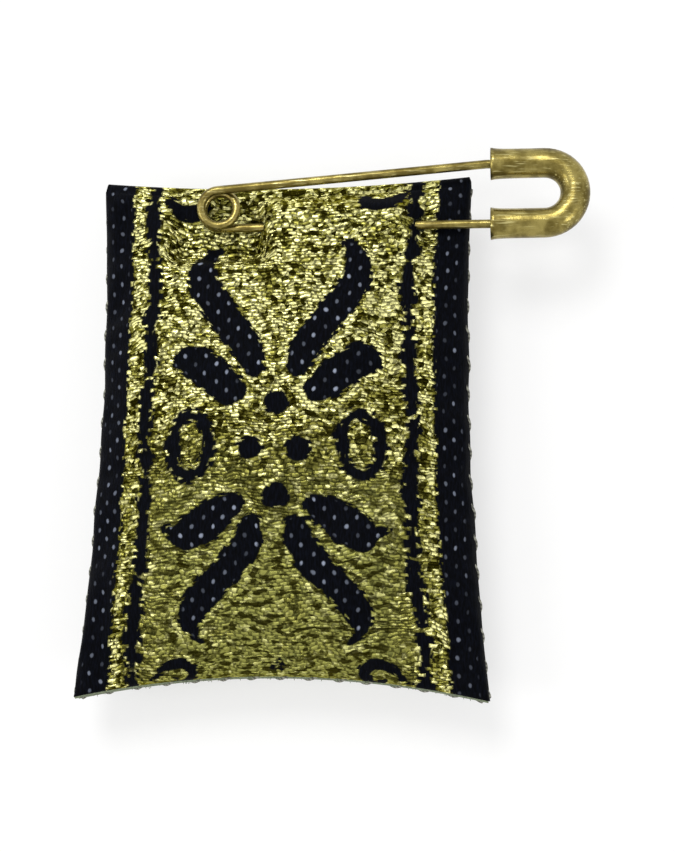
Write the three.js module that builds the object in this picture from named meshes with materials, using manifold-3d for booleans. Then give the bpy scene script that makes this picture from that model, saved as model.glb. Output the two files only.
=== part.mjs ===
// A pinned cloth amulet: one brocade ribbon folded over a stuffed, wrapped packet, with a brass safety pin
// through its top edge. Millimetres, +Z up. The amulet lies on its back, its folded top edge towards +Y,
// and the origin is the centre of the flat that it rests on.

import * as THREE from 'three';
import { mergeVertices } from 'three/addons/utils/BufferGeometryUtils.js';
import Module from 'manifold-3d';

const wasm = await Module();
wasm.setup();

// Driving dimensions: the ribbon pouch
const ribbonWidth = 25.5;
const pouchLength = 36;
const pouchThickness = 9;
const restFlatDepth = 0.5;
const ribbonThickness = 0.6;
const selvedgeGap = 0.3;
const selvedgeBevel = 0.4;
const sideDrawIn = 0.4;
const topDrawIn = 0.6;
const bottomDrawIn = 1.5;
const bottomFlare = 1.25;
const swellPower = 0.55;

// Driving dimensions: the seam thread and the gap that pieces keep
const threadDiameter = 0.5;
const clearance = 0.3;

// Driving dimensions: the stuffing and what it guards
const waddingClearance = 0.5;
const waddingSideInset = 1.4;
const waddingBottomInset = 1.8;
const waddingTopInset = 1.6;
const packetWidth = 12;
const packetLength = 16;
const packetThickness = 2.4;
const packetWall = 0.3;
const blossomRadius = 4;
const blossomThickness = 0.6;
const blossomPetals = 5;
const blossomNotchShare = 0.35;
const grainRadius = 0.6;

// Driving dimensions: the safety pin
const pinLength = 27;
const wireDiameter = 0.6;
const coilRadius = 1.2;
const coilTurnGap = 0.6;
const armSpacing = 4.2;
const capLength = 6.8;
const capTube = 2.1;
const capLip = 0.12;
const tipLength = 2.2;
const spineGrip = 3.4;

// Driving dimensions: how the pin sits in the ribbon
const needleInset = 2.4;
const needleHeight = 1.6;
const slideTravel = 0.8;
const exitInset = 3;
const wallRun = 1.4;
const dentBlend = 1.3;
const ridgeBlend = 1.6;
const tunnelGap = 0.25;

// Counts and shares that only set how finely the curved faces are drawn
const acrossShares = [-1, -0.93, -0.8, -0.62, -0.44, -0.24, 0, 0.24, 0.44, 0.62, 0.8, 0.93, 1];
const alongShares = [-1, -0.94, -0.84, -0.66, -0.42, -0.2, 0, 0.2, 0.42, 0.66, 0.84, 0.94, 1];
const innerShares = [-1, -0.9, -0.72, -0.48, -0.24, 0, 0.24, 0.48, 0.72, 0.9, 1];
const foldSteps = 4;
const seamSteps = 22;
const threadSides = 8;
const wireSides = 10;
const coilSteps = 30;
const capSides = 12;
const capSteps = 22;
const cutOverrun = 1;

// Sizes that follow from the ones above
const wireRadius = wireDiameter / 2;
const threadRadius = threadDiameter / 2;
const halfRibbon = ribbonWidth / 2;
const halfPouch = pouchLength / 2;
const edgeInner = selvedgeGap / 2;
const edgeOuter = edgeInner + ribbonThickness;
const crownHeight = pouchThickness / 2 - edgeOuter;
const restHeight = pouchThickness / 2 - restFlatDepth;
const foldLine = halfPouch - edgeOuter;

// The thread lies in the groove that the two bevelled selvedges leave between them
const bevelLength = Math.hypot(selvedgeBevel, ribbonThickness);
const threadReach = threadRadius + clearance;
const threadOffset = (threadReach * bevelLength - edgeOuter * selvedgeBevel) / ribbonThickness;

// The pin: its needle runs along X at needleY and needleHeight above the pouch's middle plane
const needleY = foldLine - topDrawIn - needleInset;
const coilPitch = wireDiameter + coilTurnGap;
const coilOuter = coilRadius + wireRadius;
const capLeft = halfRibbon + threadOffset + threadRadius + clearance + slideTravel;
const capRight = capLeft + capLength;
const coilX = capRight - pinLength + coilOuter;
const coilSweep = Math.hypot(wireRadius, coilPitch + wireRadius);

// The ribbon is pressed down under the coil and the bare needle, and lifted over the buried needle
const pressedHeight = needleHeight - wireRadius - clearance;
const raisedHeight = needleHeight + wireRadius + clearance + ribbonThickness;
const dentLeft = coilX - coilOuter - slideTravel - clearance;
const entryFoot = coilX + coilOuter + slideTravel + clearance;
const entryTop = entryFoot + wallRun;
const exitFoot = halfRibbon - exitInset;
const exitTop = exitFoot - wallRun;
const dentNear = needleY - coilSweep - clearance;
const needleHalf = wireRadius + clearance;

// Grid lines stay this far from those at the dent and the ridge
const lineSpacing = wallRun / 2;

const colours = {
  brocade: 0x8c8a4b,
  thread: 0x82826f,
  wadding: 0xe8e4d8,
  paper: 0xd9cfb4,
  blossom: 0x8a5a48,
  incense: 0xb98a3e,
  brass: 0xa8905a,
};

const mix = (a, b, share) => a + (b - a) * share;

const clamp = (value, low, high) => Math.min(high, Math.max(low, value));

// 1 between low and high, falling smoothly to 0 over the blend beyond them
function within(value, low, high, lowBlend, highBlend) {
  const below = clamp((low - value) / lowBlend, 0, 1);
  const above = clamp((value - high) / highBlend, 0, 1);
  const away = Math.max(below, above);
  return 1 - away * away * (3 - 2 * away);
}

// How far the stuffing has swollen the pouch, from 0 at an edge to 1 in the middle
function swell(share) {
  return Math.max(0, 1 - share * share) ** swellPower;
}

function halfWidthAt(t) {
  const flare = bottomFlare * ((1 - t) / 2) ** 2;
  return halfRibbon + flare - sideDrawIn * (1 - t * t);
}

// Where the shares s across and t along fall on the drawn-in outline
function placeOf(s, t) {
  const top = foldLine - topDrawIn * (1 - s * s);
  const bottom = halfPouch - bottomDrawIn * (1 - s * s);
  return { x: s * halfWidthAt(t), y: t * (t > 0 ? top : bottom) };
}

function pressedShare(x, y) {
  const underCoil = within(x, dentLeft, entryFoot, dentBlend, wallRun);
  const besideCoil = within(y, dentNear, foldLine, dentBlend, dentBlend);
  const underTip = within(x, exitFoot, halfRibbon + bottomFlare, wallRun, wallRun);
  const besideTip = within(y, needleY - needleHalf, needleY + needleHalf, ridgeBlend, ridgeBlend);
  return Math.max(underCoil * besideCoil, underTip * besideTip);
}

function raisedShare(x, y) {
  const toFold = foldLine - topDrawIn - needleY - needleHalf;
  const overNeedle = within(x, entryTop, exitTop, wallRun, wallRun);
  const besideNeedle = within(y, needleY - needleHalf, needleY + needleHalf, ridgeBlend, toFold);
  return overNeedle * besideNeedle;
}

// Height of the ribbon's outer face over the pouch's middle plane, on the front and on the back
function frontHeight(s, t) {
  const { x, y } = placeOf(s, t);
  const plain = edgeOuter + crownHeight * swell(s) * swell(t);
  const pressed = mix(plain, Math.min(plain, pressedHeight), pressedShare(x, y));
  return mix(pressed, Math.max(pressed, raisedHeight), raisedShare(x, y));
}

function backHeight(s, t) {
  return Math.min(restHeight, edgeOuter + crownHeight * swell(s) * swell(t));
}

// Lines at the features, with the evenly chosen ones that don't crowd them
function gridLines(features, chosen) {
  const low = Math.min(...chosen);
  const high = Math.max(...chosen);
  const kept = features.filter((v) => v > low + lineSpacing && v < high - lineSpacing);
  const free = chosen.filter((v) => v === low || v === high || kept.every((k) => Math.abs(k - v) > lineSpacing));
  return [...kept, ...free].sort((a, b) => a - b);
}

function acrossLines() {
  const features = [dentLeft - dentBlend, dentLeft, entryFoot, entryTop, exitTop, exitFoot];
  return gridLines(features, acrossShares.map((share) => share * halfRibbon)).map((x) => x / halfRibbon);
}

function alongLines() {
  const nearRidge = needleY - needleHalf;
  const farRidge = needleY + needleHalf;
  const features = [dentNear - dentBlend, dentNear, nearRidge, farRidge];
  const reach = foldLine - topDrawIn;
  return gridLines(features, alongShares.map((share) => share * reach)).map((y) => y / reach);
}

// A closed slab between two point grids of the same size, the first being the outer one
function slab(outer, inner) {
  const rows = outer.length;
  const columns = outer[0].length;
  const positions = [...outer.flat(), ...inner.flat()].flatMap((p) => [p.x, p.y, p.z]);
  const top = (i, j) => i * columns + j;
  const low = (i, j) => rows * columns + i * columns + j;
  const index = [];
  const quad = (a, b, c, d) => index.push(a, b, c, a, c, d);
  for (let i = 0; i + 1 < rows; i++) {
    for (let j = 0; j + 1 < columns; j++) {
      quad(top(i, j), top(i, j + 1), top(i + 1, j + 1), top(i + 1, j));
      quad(low(i, j), low(i + 1, j), low(i + 1, j + 1), low(i, j + 1));
    }
    quad(top(i, 0), top(i + 1, 0), low(i + 1, 0), low(i, 0));
    quad(top(i, columns - 1), low(i, columns - 1), low(i + 1, columns - 1), top(i + 1, columns - 1));
  }
  for (let j = 0; j + 1 < columns; j++) {
    quad(top(0, j), low(0, j), low(0, j + 1), top(0, j + 1));
    quad(top(rows - 1, j), top(rows - 1, j + 1), low(rows - 1, j + 1), low(rows - 1, j));
  }
  const geometry = new THREE.BufferGeometry();
  geometry.setAttribute('position', new THREE.Float32BufferAttribute(positions, 3));
  geometry.setIndex(index);
  return geometry;
}

function toSolid(geometry) {
  const bare = geometry.clone();
  bare.deleteAttribute('normal');
  bare.deleteAttribute('uv');
  const merged = mergeVertices(bare);
  return new wasm.Manifold(new wasm.Mesh({
    numProp: 3,
    vertProperties: merged.attributes.position.array,
    triVerts: new Uint32Array(merged.index.array),
  }));
}

function toGeometry(solid) {
  const mesh = solid.getMesh();
  const geometry = new THREE.BufferGeometry();
  geometry.setAttribute('position', new THREE.Float32BufferAttribute(mesh.vertProperties, 3));
  geometry.setIndex(Array.from(mesh.triVerts));
  return geometry;
}

// A round bar from start to end, drawn by a few flat sides
function bar(start, end, radius, sides) {
  const along = end.clone().sub(start);
  const geometry = new THREE.CylinderGeometry(radius, radius, along.length(), sides);
  const turn = new THREE.Quaternion().setFromUnitVectors(new THREE.Vector3(0, 1, 0), along.clone().normalize());
  geometry.applyQuaternion(turn);
  const middle = start.clone().lerp(end, 0.5);
  geometry.translate(middle.x, middle.y, middle.z);
  return geometry;
}

function roundSection(radius, sides) {
  const shape = new THREE.Shape();
  for (let k = 0; k < sides; k++) {
    const turn = 2 * Math.PI * k / sides;
    const point = [radius * Math.cos(turn), radius * Math.sin(turn)];
    if (k === 0) shape.moveTo(...point);
    else shape.lineTo(...point);
  }
  shape.closePath();
  return shape;
}

function tube(points, radius, sides, steps) {
  const path = new THREE.CatmullRomCurve3(points, false, 'centripetal');
  return new THREE.ExtrudeGeometry(roundSection(radius, sides), { steps, extrudePath: path, bevelEnabled: false });
}

function namedMesh(name, geometry, colour, roughness, metalness) {
  const material = new THREE.MeshStandardMaterial({ color: colour, roughness, metalness });
  const mesh = new THREE.Mesh(geometry, material);
  mesh.name = name;
  return mesh;
}

// The stations along the ribbon: up the front, round the fold and down the back
function ribbonStations() {
  const front = alongLines().map((t) => ({ t, face: 1 }));
  const folds = [];
  for (let k = 1; k < foldSteps; k++) folds.push({ t: 1, turn: Math.PI * k / foldSteps });
  const back = [...alongShares].reverse().map((t) => ({ t, face: -1 }));
  return [...front, ...folds, ...back];
}

function ribbonPoint(s, station, isOuter) {
  const { x, y } = placeOf(s, station.t);
  const rim = isOuter ? 0 : selvedgeBevel;
  const atX = Math.abs(s) === 1 ? x - s * rim : x;
  if (station.turn !== undefined) {
    const radius = isOuter ? edgeOuter : edgeInner;
    return new THREE.Vector3(atX, y + radius * Math.sin(station.turn), radius * Math.cos(station.turn));
  }
  const atY = station.t === -1 ? y + rim : y;
  const height = station.face === 1 ? frontHeight(s, station.t) : backHeight(s, station.t);
  return new THREE.Vector3(atX, atY, station.face * (isOuter ? height : height - ribbonThickness));
}

// One strip of brocade, folded across its top edge, with the two holes that the needle has made
function ribbon() {
  const across = acrossLines();
  const stations = ribbonStations();
  const outer = stations.map((station) => across.map((s) => ribbonPoint(s, station, true)));
  const inner = stations.map((station) => across.map((s) => ribbonPoint(s, station, false)));
  const cloth = toSolid(slab(outer, inner));
  const start = new THREE.Vector3(entryFoot - clearance, needleY, needleHeight);
  const end = new THREE.Vector3(exitFoot + clearance, needleY, needleHeight);
  const tunnel = toSolid(bar(start, end, wireRadius + tunnelGap, wireSides));
  return toGeometry(cloth.subtract(tunnel));
}

function sideSeam(side) {
  const points = [];
  for (let k = 0; k <= seamSteps; k++) {
    const t = mix(-1, 1, k / seamSteps);
    const { x, y } = placeOf(side, t);
    points.push(new THREE.Vector3(x + side * threadOffset, y, 0));
  }
  return tube(points, threadRadius, threadSides, seamSteps);
}

function bottomSeam() {
  const points = [];
  const reachShare = 1 - (threadRadius + clearance) / halfRibbon;
  for (let k = 0; k <= seamSteps; k++) {
    const s = mix(-reachShare, reachShare, k / seamSteps);
    const { x, y } = placeOf(s, -1);
    points.push(new THREE.Vector3(x, y - threadOffset, 0));
  }
  return tube(points, threadRadius, threadSides, seamSteps);
}

// One half of the stuffing: a cushion that follows the ribbon's inside, with a pocket for the packet
function wadding(face) {
  const sReach = 1 - waddingSideInset / halfRibbon;
  const tLow = -1 + waddingBottomInset / halfPouch;
  const waddingTop = Math.min(dentNear - dentBlend, foldLine) - waddingTopInset + dentBlend;
  const tHigh = waddingTop / foldLine;
  const rows = innerShares.map((share) => mix(tLow, tHigh, (share + 1) / 2));
  const columns = innerShares.map((share) => share * sReach);
  const heightAt = face === 1 ? frontHeight : backHeight;
  const waddingLoss = ribbonThickness + waddingClearance;
  const faceAt = (s, t, z) => {
    const { x, y } = placeOf(s, t);
    return new THREE.Vector3(x, y, face * z);
  };
  const skin = rows.map((t) => columns.map((s) => faceAt(s, t, heightAt(s, t) - waddingLoss)));
  const seat = rows.map((t) => columns.map((s) => faceAt(s, t, clearance / 2)));
  const body = toSolid(face === 1 ? slab(skin, seat) : slab(seat, skin));
  const pocket = new THREE.BoxGeometry(
    packetWidth + 2 * clearance,
    packetLength + 2 * clearance,
    packetThickness + 2 * clearance,
  );
  return toGeometry(body.subtract(toSolid(pocket)));
}

// A slip of paper folded into a sleeve, open at the end towards the fold
function packetWrapper() {
  const sleeve = toSolid(new THREE.BoxGeometry(packetWidth, packetLength, packetThickness));
  const hollow = new THREE.BoxGeometry(
    packetWidth - 2 * packetWall,
    packetLength,
    packetThickness - 2 * packetWall,
  );
  hollow.translate(0, packetWall, 0);
  return toGeometry(sleeve.subtract(toSolid(hollow)));
}

// A pressed flower head, flat, with shallow notches between its petals
function driedBlossom() {
  const shape = new THREE.Shape();
  const corners = 2 * blossomPetals;
  for (let k = 0; k < corners; k++) {
    const radius = k % 2 ? blossomRadius * (1 - blossomNotchShare) : blossomRadius;
    const turn = 2 * Math.PI * k / corners;
    const point = [radius * Math.cos(turn), radius * Math.sin(turn)];
    if (k === 0) shape.moveTo(...point);
    else shape.lineTo(...point);
  }
  shape.closePath();
  return new THREE.ExtrudeGeometry(shape, { depth: blossomThickness, bevelEnabled: false });
}

// The coil's wire, from the needle at the bottom turn, one and a half times round, to the spine above
function coilPoints() {
  const points = [];
  for (let k = 0; k <= coilSteps; k++) {
    const turns = 1.5 * k / coilSteps;
    const angle = -Math.PI / 2 - 2 * Math.PI * turns;
    const climb = clamp((turns - 0.5) / 0.5, 0, 1);
    points.push(new THREE.Vector3(
      coilX + coilRadius * Math.cos(angle),
      coilRadius + coilRadius * Math.sin(angle),
      coilPitch * climb,
    ));
  }
  return points;
}

// Least gap between the coil's turns, measured between points that are over a quarter turn apart
function leastCoilGap(points) {
  const apart = Math.ceil(coilSteps / 6);
  let least = Infinity;
  for (let i = 0; i < points.length; i++) {
    for (let j = i + apart; j < points.length; j++) {
      least = Math.min(least, points[i].distanceTo(points[j]) - wireDiameter);
    }
  }
  return least;
}

// The needle: a round wire from the coil's lower turn, ground to a point inside the cap
function needleArm() {
  const tipX = capRight - capTube - clearance;
  const profile = [
    new THREE.Vector2(0, 0),
    new THREE.Vector2(wireRadius, 0),
    new THREE.Vector2(wireRadius, tipX - tipLength - coilX - clearance),
    new THREE.Vector2(0, tipX - coilX - clearance),
  ];
  const geometry = new THREE.LatheGeometry(profile, wireSides);
  geometry.rotateZ(-Math.PI / 2);
  geometry.translate(coilX + clearance, 0, 0);
  return geometry;
}

// The spine: from the coil's upper turn, drawing away from the needle, into the cap's long leg
function spineArm() {
  const start = new THREE.Vector3(coilX + clearance, 2 * coilRadius, coilPitch);
  const mouth = new THREE.Vector3(capLeft - clearance, armSpacing, 0);
  const end = new THREE.Vector3(capLeft + spineGrip, armSpacing, 0);
  const leg = toSolid(bar(start, mouth, wireRadius, wireSides));
  const grip = toSolid(bar(mouth, end, wireRadius, wireSides));
  const elbow = new THREE.SphereGeometry(wireRadius, wireSides, wireSides / 2);
  elbow.translate(mouth.x, mouth.y, mouth.z);
  return toGeometry(leg.add(toSolid(elbow)).add(grip));
}

// The clasp: sheet brass rolled into a hook, its long leg round the spine and its short leg a trough
// that shelters the needle's point and is open below
function claspCap() {
  const tubeRadius = capTube / 2;
  const bend = armSpacing / 2;
  const bendX = capRight - tubeRadius - bend;
  const points = [new THREE.Vector3(capLeft, armSpacing, 0)];
  for (let k = 0; k <= 8; k++) {
    const turn = Math.PI / 2 - Math.PI * k / 8;
    points.push(new THREE.Vector3(bendX + bend * Math.cos(turn), bend + bend * Math.sin(turn), 0));
  }
  points.push(new THREE.Vector3(capLeft + tubeRadius, 0, 0));
  const hook = toSolid(tube(points, tubeRadius, capSides, capSteps));
  const boreRadius = wireRadius + clearance;
  const boreEnd = new THREE.Vector3(capLeft + spineGrip + clearance, armSpacing, 0);
  const bore = bar(new THREE.Vector3(capLeft - cutOverrun, armSpacing, 0), boreEnd, boreRadius, capSides);
  const tipRoom = capRight - capTube;
  const trough = bar(new THREE.Vector3(capLeft, 0, 0), new THREE.Vector3(tipRoom, 0, 0), boreRadius, capSides);
  const slotLength = tipRoom - capLeft;
  const slot = new THREE.BoxGeometry(slotLength, 2 * boreRadius, tubeRadius + cutOverrun);
  slot.translate(capLeft + slotLength / 2, 0, -(tubeRadius + cutOverrun) / 2);
  const lipRoom = new THREE.BoxGeometry(slotLength, capTube + cutOverrun, tubeRadius + cutOverrun);
  lipRoom.translate(capLeft + slotLength / 2, -boreRadius / 2, -capLip - (tubeRadius + cutOverrun) / 2);
  return toGeometry(
    hook.subtract(toSolid(bore)).subtract(toSolid(trough)).subtract(toSolid(slot)).subtract(toSolid(lipRoom)),
  );
}

function pouchGroup() {
  const pouch = new THREE.Group();
  pouch.add(namedMesh('brocade_ribbon', ribbon(), colours.brocade, 0.45, 0.4));
  pouch.add(namedMesh('side_seam_left', sideSeam(-1), colours.thread, 0.9, 0));
  pouch.add(namedMesh('side_seam_right', sideSeam(1), colours.thread, 0.9, 0));
  pouch.add(namedMesh('bottom_seam', bottomSeam(), colours.thread, 0.9, 0));
  pouch.add(namedMesh('wadding_front', wadding(1), colours.wadding, 1, 0));
  pouch.add(namedMesh('wadding_back', wadding(-1), colours.wadding, 1, 0));
  pouch.add(packetGroup());
  return pouch;
}

function packetGroup() {
  const packet = new THREE.Group();
  packet.add(namedMesh('packet_wrapper', packetWrapper(), colours.paper, 0.9, 0));
  const floor = packetWall + clearance - packetThickness / 2;
  const blossom = namedMesh('dried_blossom', driedBlossom(), colours.blossom, 0.9, 0);
  blossom.position.set(0, blossomRadius + clearance + packetWall - packetLength / 2, floor);
  packet.add(blossom);
  const grain = namedMesh('incense_grain', new THREE.IcosahedronGeometry(grainRadius, 1), colours.incense, 0.5, 0);
  const grainY = blossom.position.y + blossomRadius + grainRadius + clearance;
  grain.position.set(0, grainY, floor + grainRadius);
  packet.add(grain);
  return packet;
}

function pinGroup() {
  const pin = new THREE.Group();
  const wirePoints = coilPoints();
  console.log('least gap in the coil, mm', leastCoilGap(wirePoints).toFixed(2));
  pin.position.set(0, needleY, needleHeight);
  pin.add(namedMesh('needle_arm', needleArm(), colours.brass, 0.3, 1));
  pin.add(namedMesh('coil_spring', tube(wirePoints, wireRadius, wireSides, coilSteps), colours.brass, 0.3, 1));
  pin.add(namedMesh('spine_arm', spineArm(), colours.brass, 0.3, 1));
  pin.add(namedMesh('clasp_cap', claspCap(), colours.brass, 0.3, 1));
  return pin;
}

const group = new THREE.Group();
group.position.z = restHeight;
group.add(pouchGroup());
group.add(pinGroup());

export default group;
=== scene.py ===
"""Dresses the fabric amulet: a stuffed brocade pouch, what it holds, and the brass safety pin on it.

Lengths are in millimetres in the row frame, and turn into metres where a mesh is made.
"""

import math

import bmesh
import bpy
import numpy as np
from mathutils import Matrix, Vector, noise


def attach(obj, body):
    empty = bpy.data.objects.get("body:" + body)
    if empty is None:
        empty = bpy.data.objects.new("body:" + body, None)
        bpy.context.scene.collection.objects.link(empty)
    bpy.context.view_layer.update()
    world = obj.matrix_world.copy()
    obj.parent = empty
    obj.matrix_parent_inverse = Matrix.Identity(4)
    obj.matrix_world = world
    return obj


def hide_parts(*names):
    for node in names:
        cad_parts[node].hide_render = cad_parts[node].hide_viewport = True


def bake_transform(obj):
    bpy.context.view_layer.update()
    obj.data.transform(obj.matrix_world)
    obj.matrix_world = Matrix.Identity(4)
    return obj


MM = 0.001

# The pouch: a ribbon folded over at the top and sewn up at the sides and the bottom.
RIBBON_WIDTH = 25.5
POUCH_LENGTH = 36
POUCH_THICKNESS = 9
REST_FLAT_DEPTH = 0.5
RIBBON_THICKNESS = 0.6
SELVEDGE_GAP = 0.3
SIDE_DRAW_IN = 0.4
TOP_DRAW_IN = 0.6
BOTTOM_DRAW_IN = 1.5
BOTTOM_FLARE = 1.25
SWELL_POWER = 0.55
HALF_RIBBON = RIBBON_WIDTH / 2
HALF_POUCH = POUCH_LENGTH / 2
EDGE_INNER = SELVEDGE_GAP / 2
EDGE_OUTER = EDGE_INNER + RIBBON_THICKNESS
CROWN_HEIGHT = POUCH_THICKNESS / 2 - EDGE_OUTER
FOLD_LINE = HALF_POUCH - EDGE_OUTER
MID_HEIGHT = POUCH_THICKNESS / 2 - REST_FLAT_DEPTH

# The safety pin.
WIRE_RADIUS = 0.3
WIRE_SIDES = 20
WIRE_STEPS = 40
PIN_LENGTH = 27
PIN_REACH = 8.311
PIN_Y = 14.25
PIN_Z = 5.6
PIN_RIGHT = HALF_RIBBON + PIN_REACH
COIL_RADIUS = 1.2
COIL_PITCH = 1.2
COIL_TURNS = 1.5
COIL_STEPS = 84
COIL_X = PIN_RIGHT - PIN_LENGTH + COIL_RADIUS + WIRE_RADIUS
ARM_SPACING = 4.2
SPINE_Y = PIN_Y + ARM_SPACING
NEEDLE_INSET = 2.4
NEEDLE_END_X = PIN_RIGHT - NEEDLE_INSET
TIP_LENGTH = 2.2
TIP_STEPS = 16
TIP_POWER = 0.75
TIP_END_SHARE = 0.02
CAP_LENGTH = 6.8
CAP_MOUTH_X = PIN_RIGHT - CAP_LENGTH
CAP_BEND_INSET = 3.15
CAP_BEND_X = PIN_RIGHT - CAP_BEND_INSET
CAP_TUBE = 1.02
CAP_SHEET = 0.16
CAP_OPENING = math.radians(96)
CAP_LIP = 0.1
CAP_LIP_ROWS = 1.5
CAP_PINCH_SHARES = (0.1, 0.8, 0.06)
CAP_CURL_SHARE = 0.06
CAP_CURL_POWER = 8
CAP_ARM_STEPS = 14
CAP_BEND_STEPS = 26
CAP_ARC_STEPS = 25
SPINE_START = (COIL_X, PIN_Y + 2 * COIL_RADIUS, PIN_Z + COIL_PITCH)
SPINE_RUN_IN = 0.3
SPINE_MOUTH = (CAP_MOUTH_X - SPINE_RUN_IN, SPINE_Y, PIN_Z)
SPINE_GRIP = 3.4
SPINE_GRIP_STEPS = 9
BEND_RUN = 3

# Where the cloth is pressed down under the pin and raised over its needle.
DENT_HEIGHT = 1.15
DENT_BLEND = 1.3
DENT_REACHES = (2.6, 2.24)
DENT_DROP = 1.83
DENT_X = (COIL_X - DENT_REACHES[0], COIL_X + DENT_REACHES[1])
DENT_Y = (PIN_Y - DENT_DROP, FOLD_LINE)
EXIT_REACHES = (2.65, 0.5)
EXIT_DENT_X = (HALF_RIBBON - EXIT_REACHES[0], HALF_RIBBON + EXIT_REACHES[1])
TUNNEL_INSETS = (4.44, 4.85)
TUNNEL_X = (COIL_X + TUNNEL_INSETS[0], HALF_RIBBON - TUNNEL_INSETS[1])
TUNNEL_HALF_WIDTH = 0.6
TUNNEL_Y = (PIN_Y - TUNNEL_HALF_WIDTH, PIN_Y + TUNNEL_HALF_WIDTH)
TUNNEL_HEIGHT = 2.8
WALL_RUN = 2.0
RIDGE_BLEND = 1.6
RIDGE_TOP_BLEND = 1.8
HOLE_RADIUS = 0.42

# The small unevenness of hand-filled, hand-sewn cloth, which stays away from the pin.
LUMP_HEIGHT = 0.3
LUMP_SIZE = 9
LUMP_WAVES = 7
LUMP_RATE_SHARES = (0.8, 2.2)
LUMP_SHARE = 0.25
LUMP_SEED = 5
PUCKER_HEIGHT = 0.16
PUCKER_PITCH = 2.6
PUCKER_BOTTOM_STRETCH = 1.3
PUCKER_REACH = 3.2
PUCKER_EDGE_RATE = 2
PUCKER_DRIFTS = ((1.4, 0.31), (0.9, 0.83))
PUCKER_SEED = 9
NEAR_PIN_X = (-9, 15)
NEAR_PIN_Y = (10, 20)
NEAR_PIN_BLENDS = (2.5, 3)
EDGE_WAVER = 0.05
EDGE_WAVER_RATES = (1.1, 0.47)
EDGE_WAVER_POWER = 8
RIM_BULGE = 0.12

# How the filled cloth settles in the simulation, which runs on an enlarged copy.
SETTLE_SCALE = 15
SETTLE_ROWS = 49
SETTLE_COLUMNS = 37
SETTLE_FRAMES = 20
START_UNEVEN_SHARE = 0.06
SETTLE_SEEDS = (31, 32)
SETTLE_CAP = 0.5
SETTLE_FINER = 4
BROAD_PASSES = 40
SMOOTH_PASSES = 6
CLOTH_SETTINGS = {
    "quality": 6,
    "mass": 0.15,
    "tension_stiffness": 15,
    "compression_stiffness": 15,
    "shear_stiffness": 5,
    "bending_stiffness": 0.05,
    "use_pressure": True,
    "uniform_pressure_force": 2,
    "shrink_min": -0.06,
}

# The fine grid of the cloth.
ACROSS_COUNT = 121
ALONG_COUNT = 161
FOLD_COUNT = 8
EDGE_CROWDING_SHARE = 0.5

# The woven pattern, in shares of the ribbon's half width, from the middle of the motif.
# A stroke is a few places across and along, each with its width.
MOTIF_DROP_SHARE = -0.13
DOT_RADIUS_SHARE = 0.068
DOT_SHARES = ((0.005, 0.257), (0.005, -0.268), (0.13, 0), (-0.128, 0))
RING_CENTRE_SHARES = (0.452, 0.022)
RING_RADIUS_SHARES = (0.101, 0.168)
RING_LINE_SHARE = 0.072
LOOP_RADIUS_SHARE = 0.115
LOOP_LINE_SHARE = 0.016
LEAF_SHARES = {
    "upper blunt leaf": (
        (0.235, 0.325, 0.155), (0.295, 0.375, 0.185), (0.38, 0.445, 0.195), (0.465, 0.495, 0.175),
    ),
    "upper blunt tip": ((0.42, 0.55, 0.06), (0.49, 0.535, 0.08), (0.54, 0.485, 0.07)),
    "lower blunt leaf": (
        (0.225, -0.325, 0.145), (0.29, -0.365, 0.185), (0.38, -0.435, 0.215), (0.44, -0.475, 0.19),
    ),
    "lower blunt tip": ((0.41, -0.52, 0.09), (0.46, -0.52, 0.1), (0.535, -0.45, 0.07), (0.59, -0.43, 0.02)),
    "upper long leaf": (
        (0.118, 0.455, 0.12), (0.165, 0.575, 0.165), (0.265, 0.71, 0.17), (0.355, 0.83, 0.17),
        (0.415, 0.94, 0.165), (0.425, 1.04, 0.135), (0.4, 1.12, 0.09), (0.35, 1.17, 0.03),
    ),
    "lower long leaf": (
        (0.115, -0.435, 0.12), (0.14, -0.54, 0.16), (0.215, -0.66, 0.165), (0.31, -0.76, 0.165),
        (0.39, -0.86, 0.155), (0.42, -0.95, 0.11), (0.405, -1.03, 0.05), (0.355, -1.085, 0.02),
    ),
}
HOOK_SHARES = {
    "upper": ((0.43, 1.43, 0.05), (0.49, 1.385, 0.1), (0.57, 1.385, 0.09), (0.64, 1.44, 0.05)),
    "lower": (
        (0.61, -1.26, 0.025), (0.56, -1.2, 0.045), (0.47, -1.185, 0.055),
        (0.415, -1.24, 0.055), (0.46, -1.29, 0.04), (0.51, -1.265, 0.02),
    ),
    "comma": ((0.0, -1.2, 0.03), (0.03, -1.24, 0.015)),
}
LINE_PLACE_SHARE = 0.706
LINE_WIDTH_SHARE = 0.066
LINE_WAVE_SHARE = 0.012
LINE_WAVES = ((1, 5.2, 0.6), (0.5, 11, 0))
LINE_UNEVEN_SHARE = 0.32
LINE_UNEVEN_WAVES = ((1, 17, 3, 6.1, 0), (0.8, 41, 5, 9.3, 1))
THIN_LINE_FIRM_SHARE = 0.62
BAND_PLACE_SHARE = 0.834
BAND_WAVE_SHARE = 0.3
CROSS_ARM_SHARES = (0.115, 0.2)
CROSS_REACH_SHARES = (0.72, 1.13)
CROSS_ROUND_SHARE = 0.1
CROSS_LINE_SHARE = 0.062
DIAMOND_SHARES = (0.13, 0.26)
DIAMOND_LINE_SHARE = 0.045
BACK_STROKE_SHARES = {
    "bar along": ((0, 1.14, 0.055), (0.15, 1.135, 0.065), (0.23, 1.1, 0.1), (0.295, 1.04, 0.04)),
    "bar across": ((0.735, 0, 0.055), (0.735, 0.22, 0.065), (0.715, 0.33, 0.095), (0.665, 0.41, 0.035)),
    "hook": (
        (0.62, 1.27, 0.04), (0.68, 1.31, 0.05), (0.73, 1.25, 0.08), (0.69, 1.18, 0.09), (0.63, 1.2, 0.04),
    ),
}
RIBBED_REACH_SHARES = (0.79, 1.18)
CURVE_STEPS = 7

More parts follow.
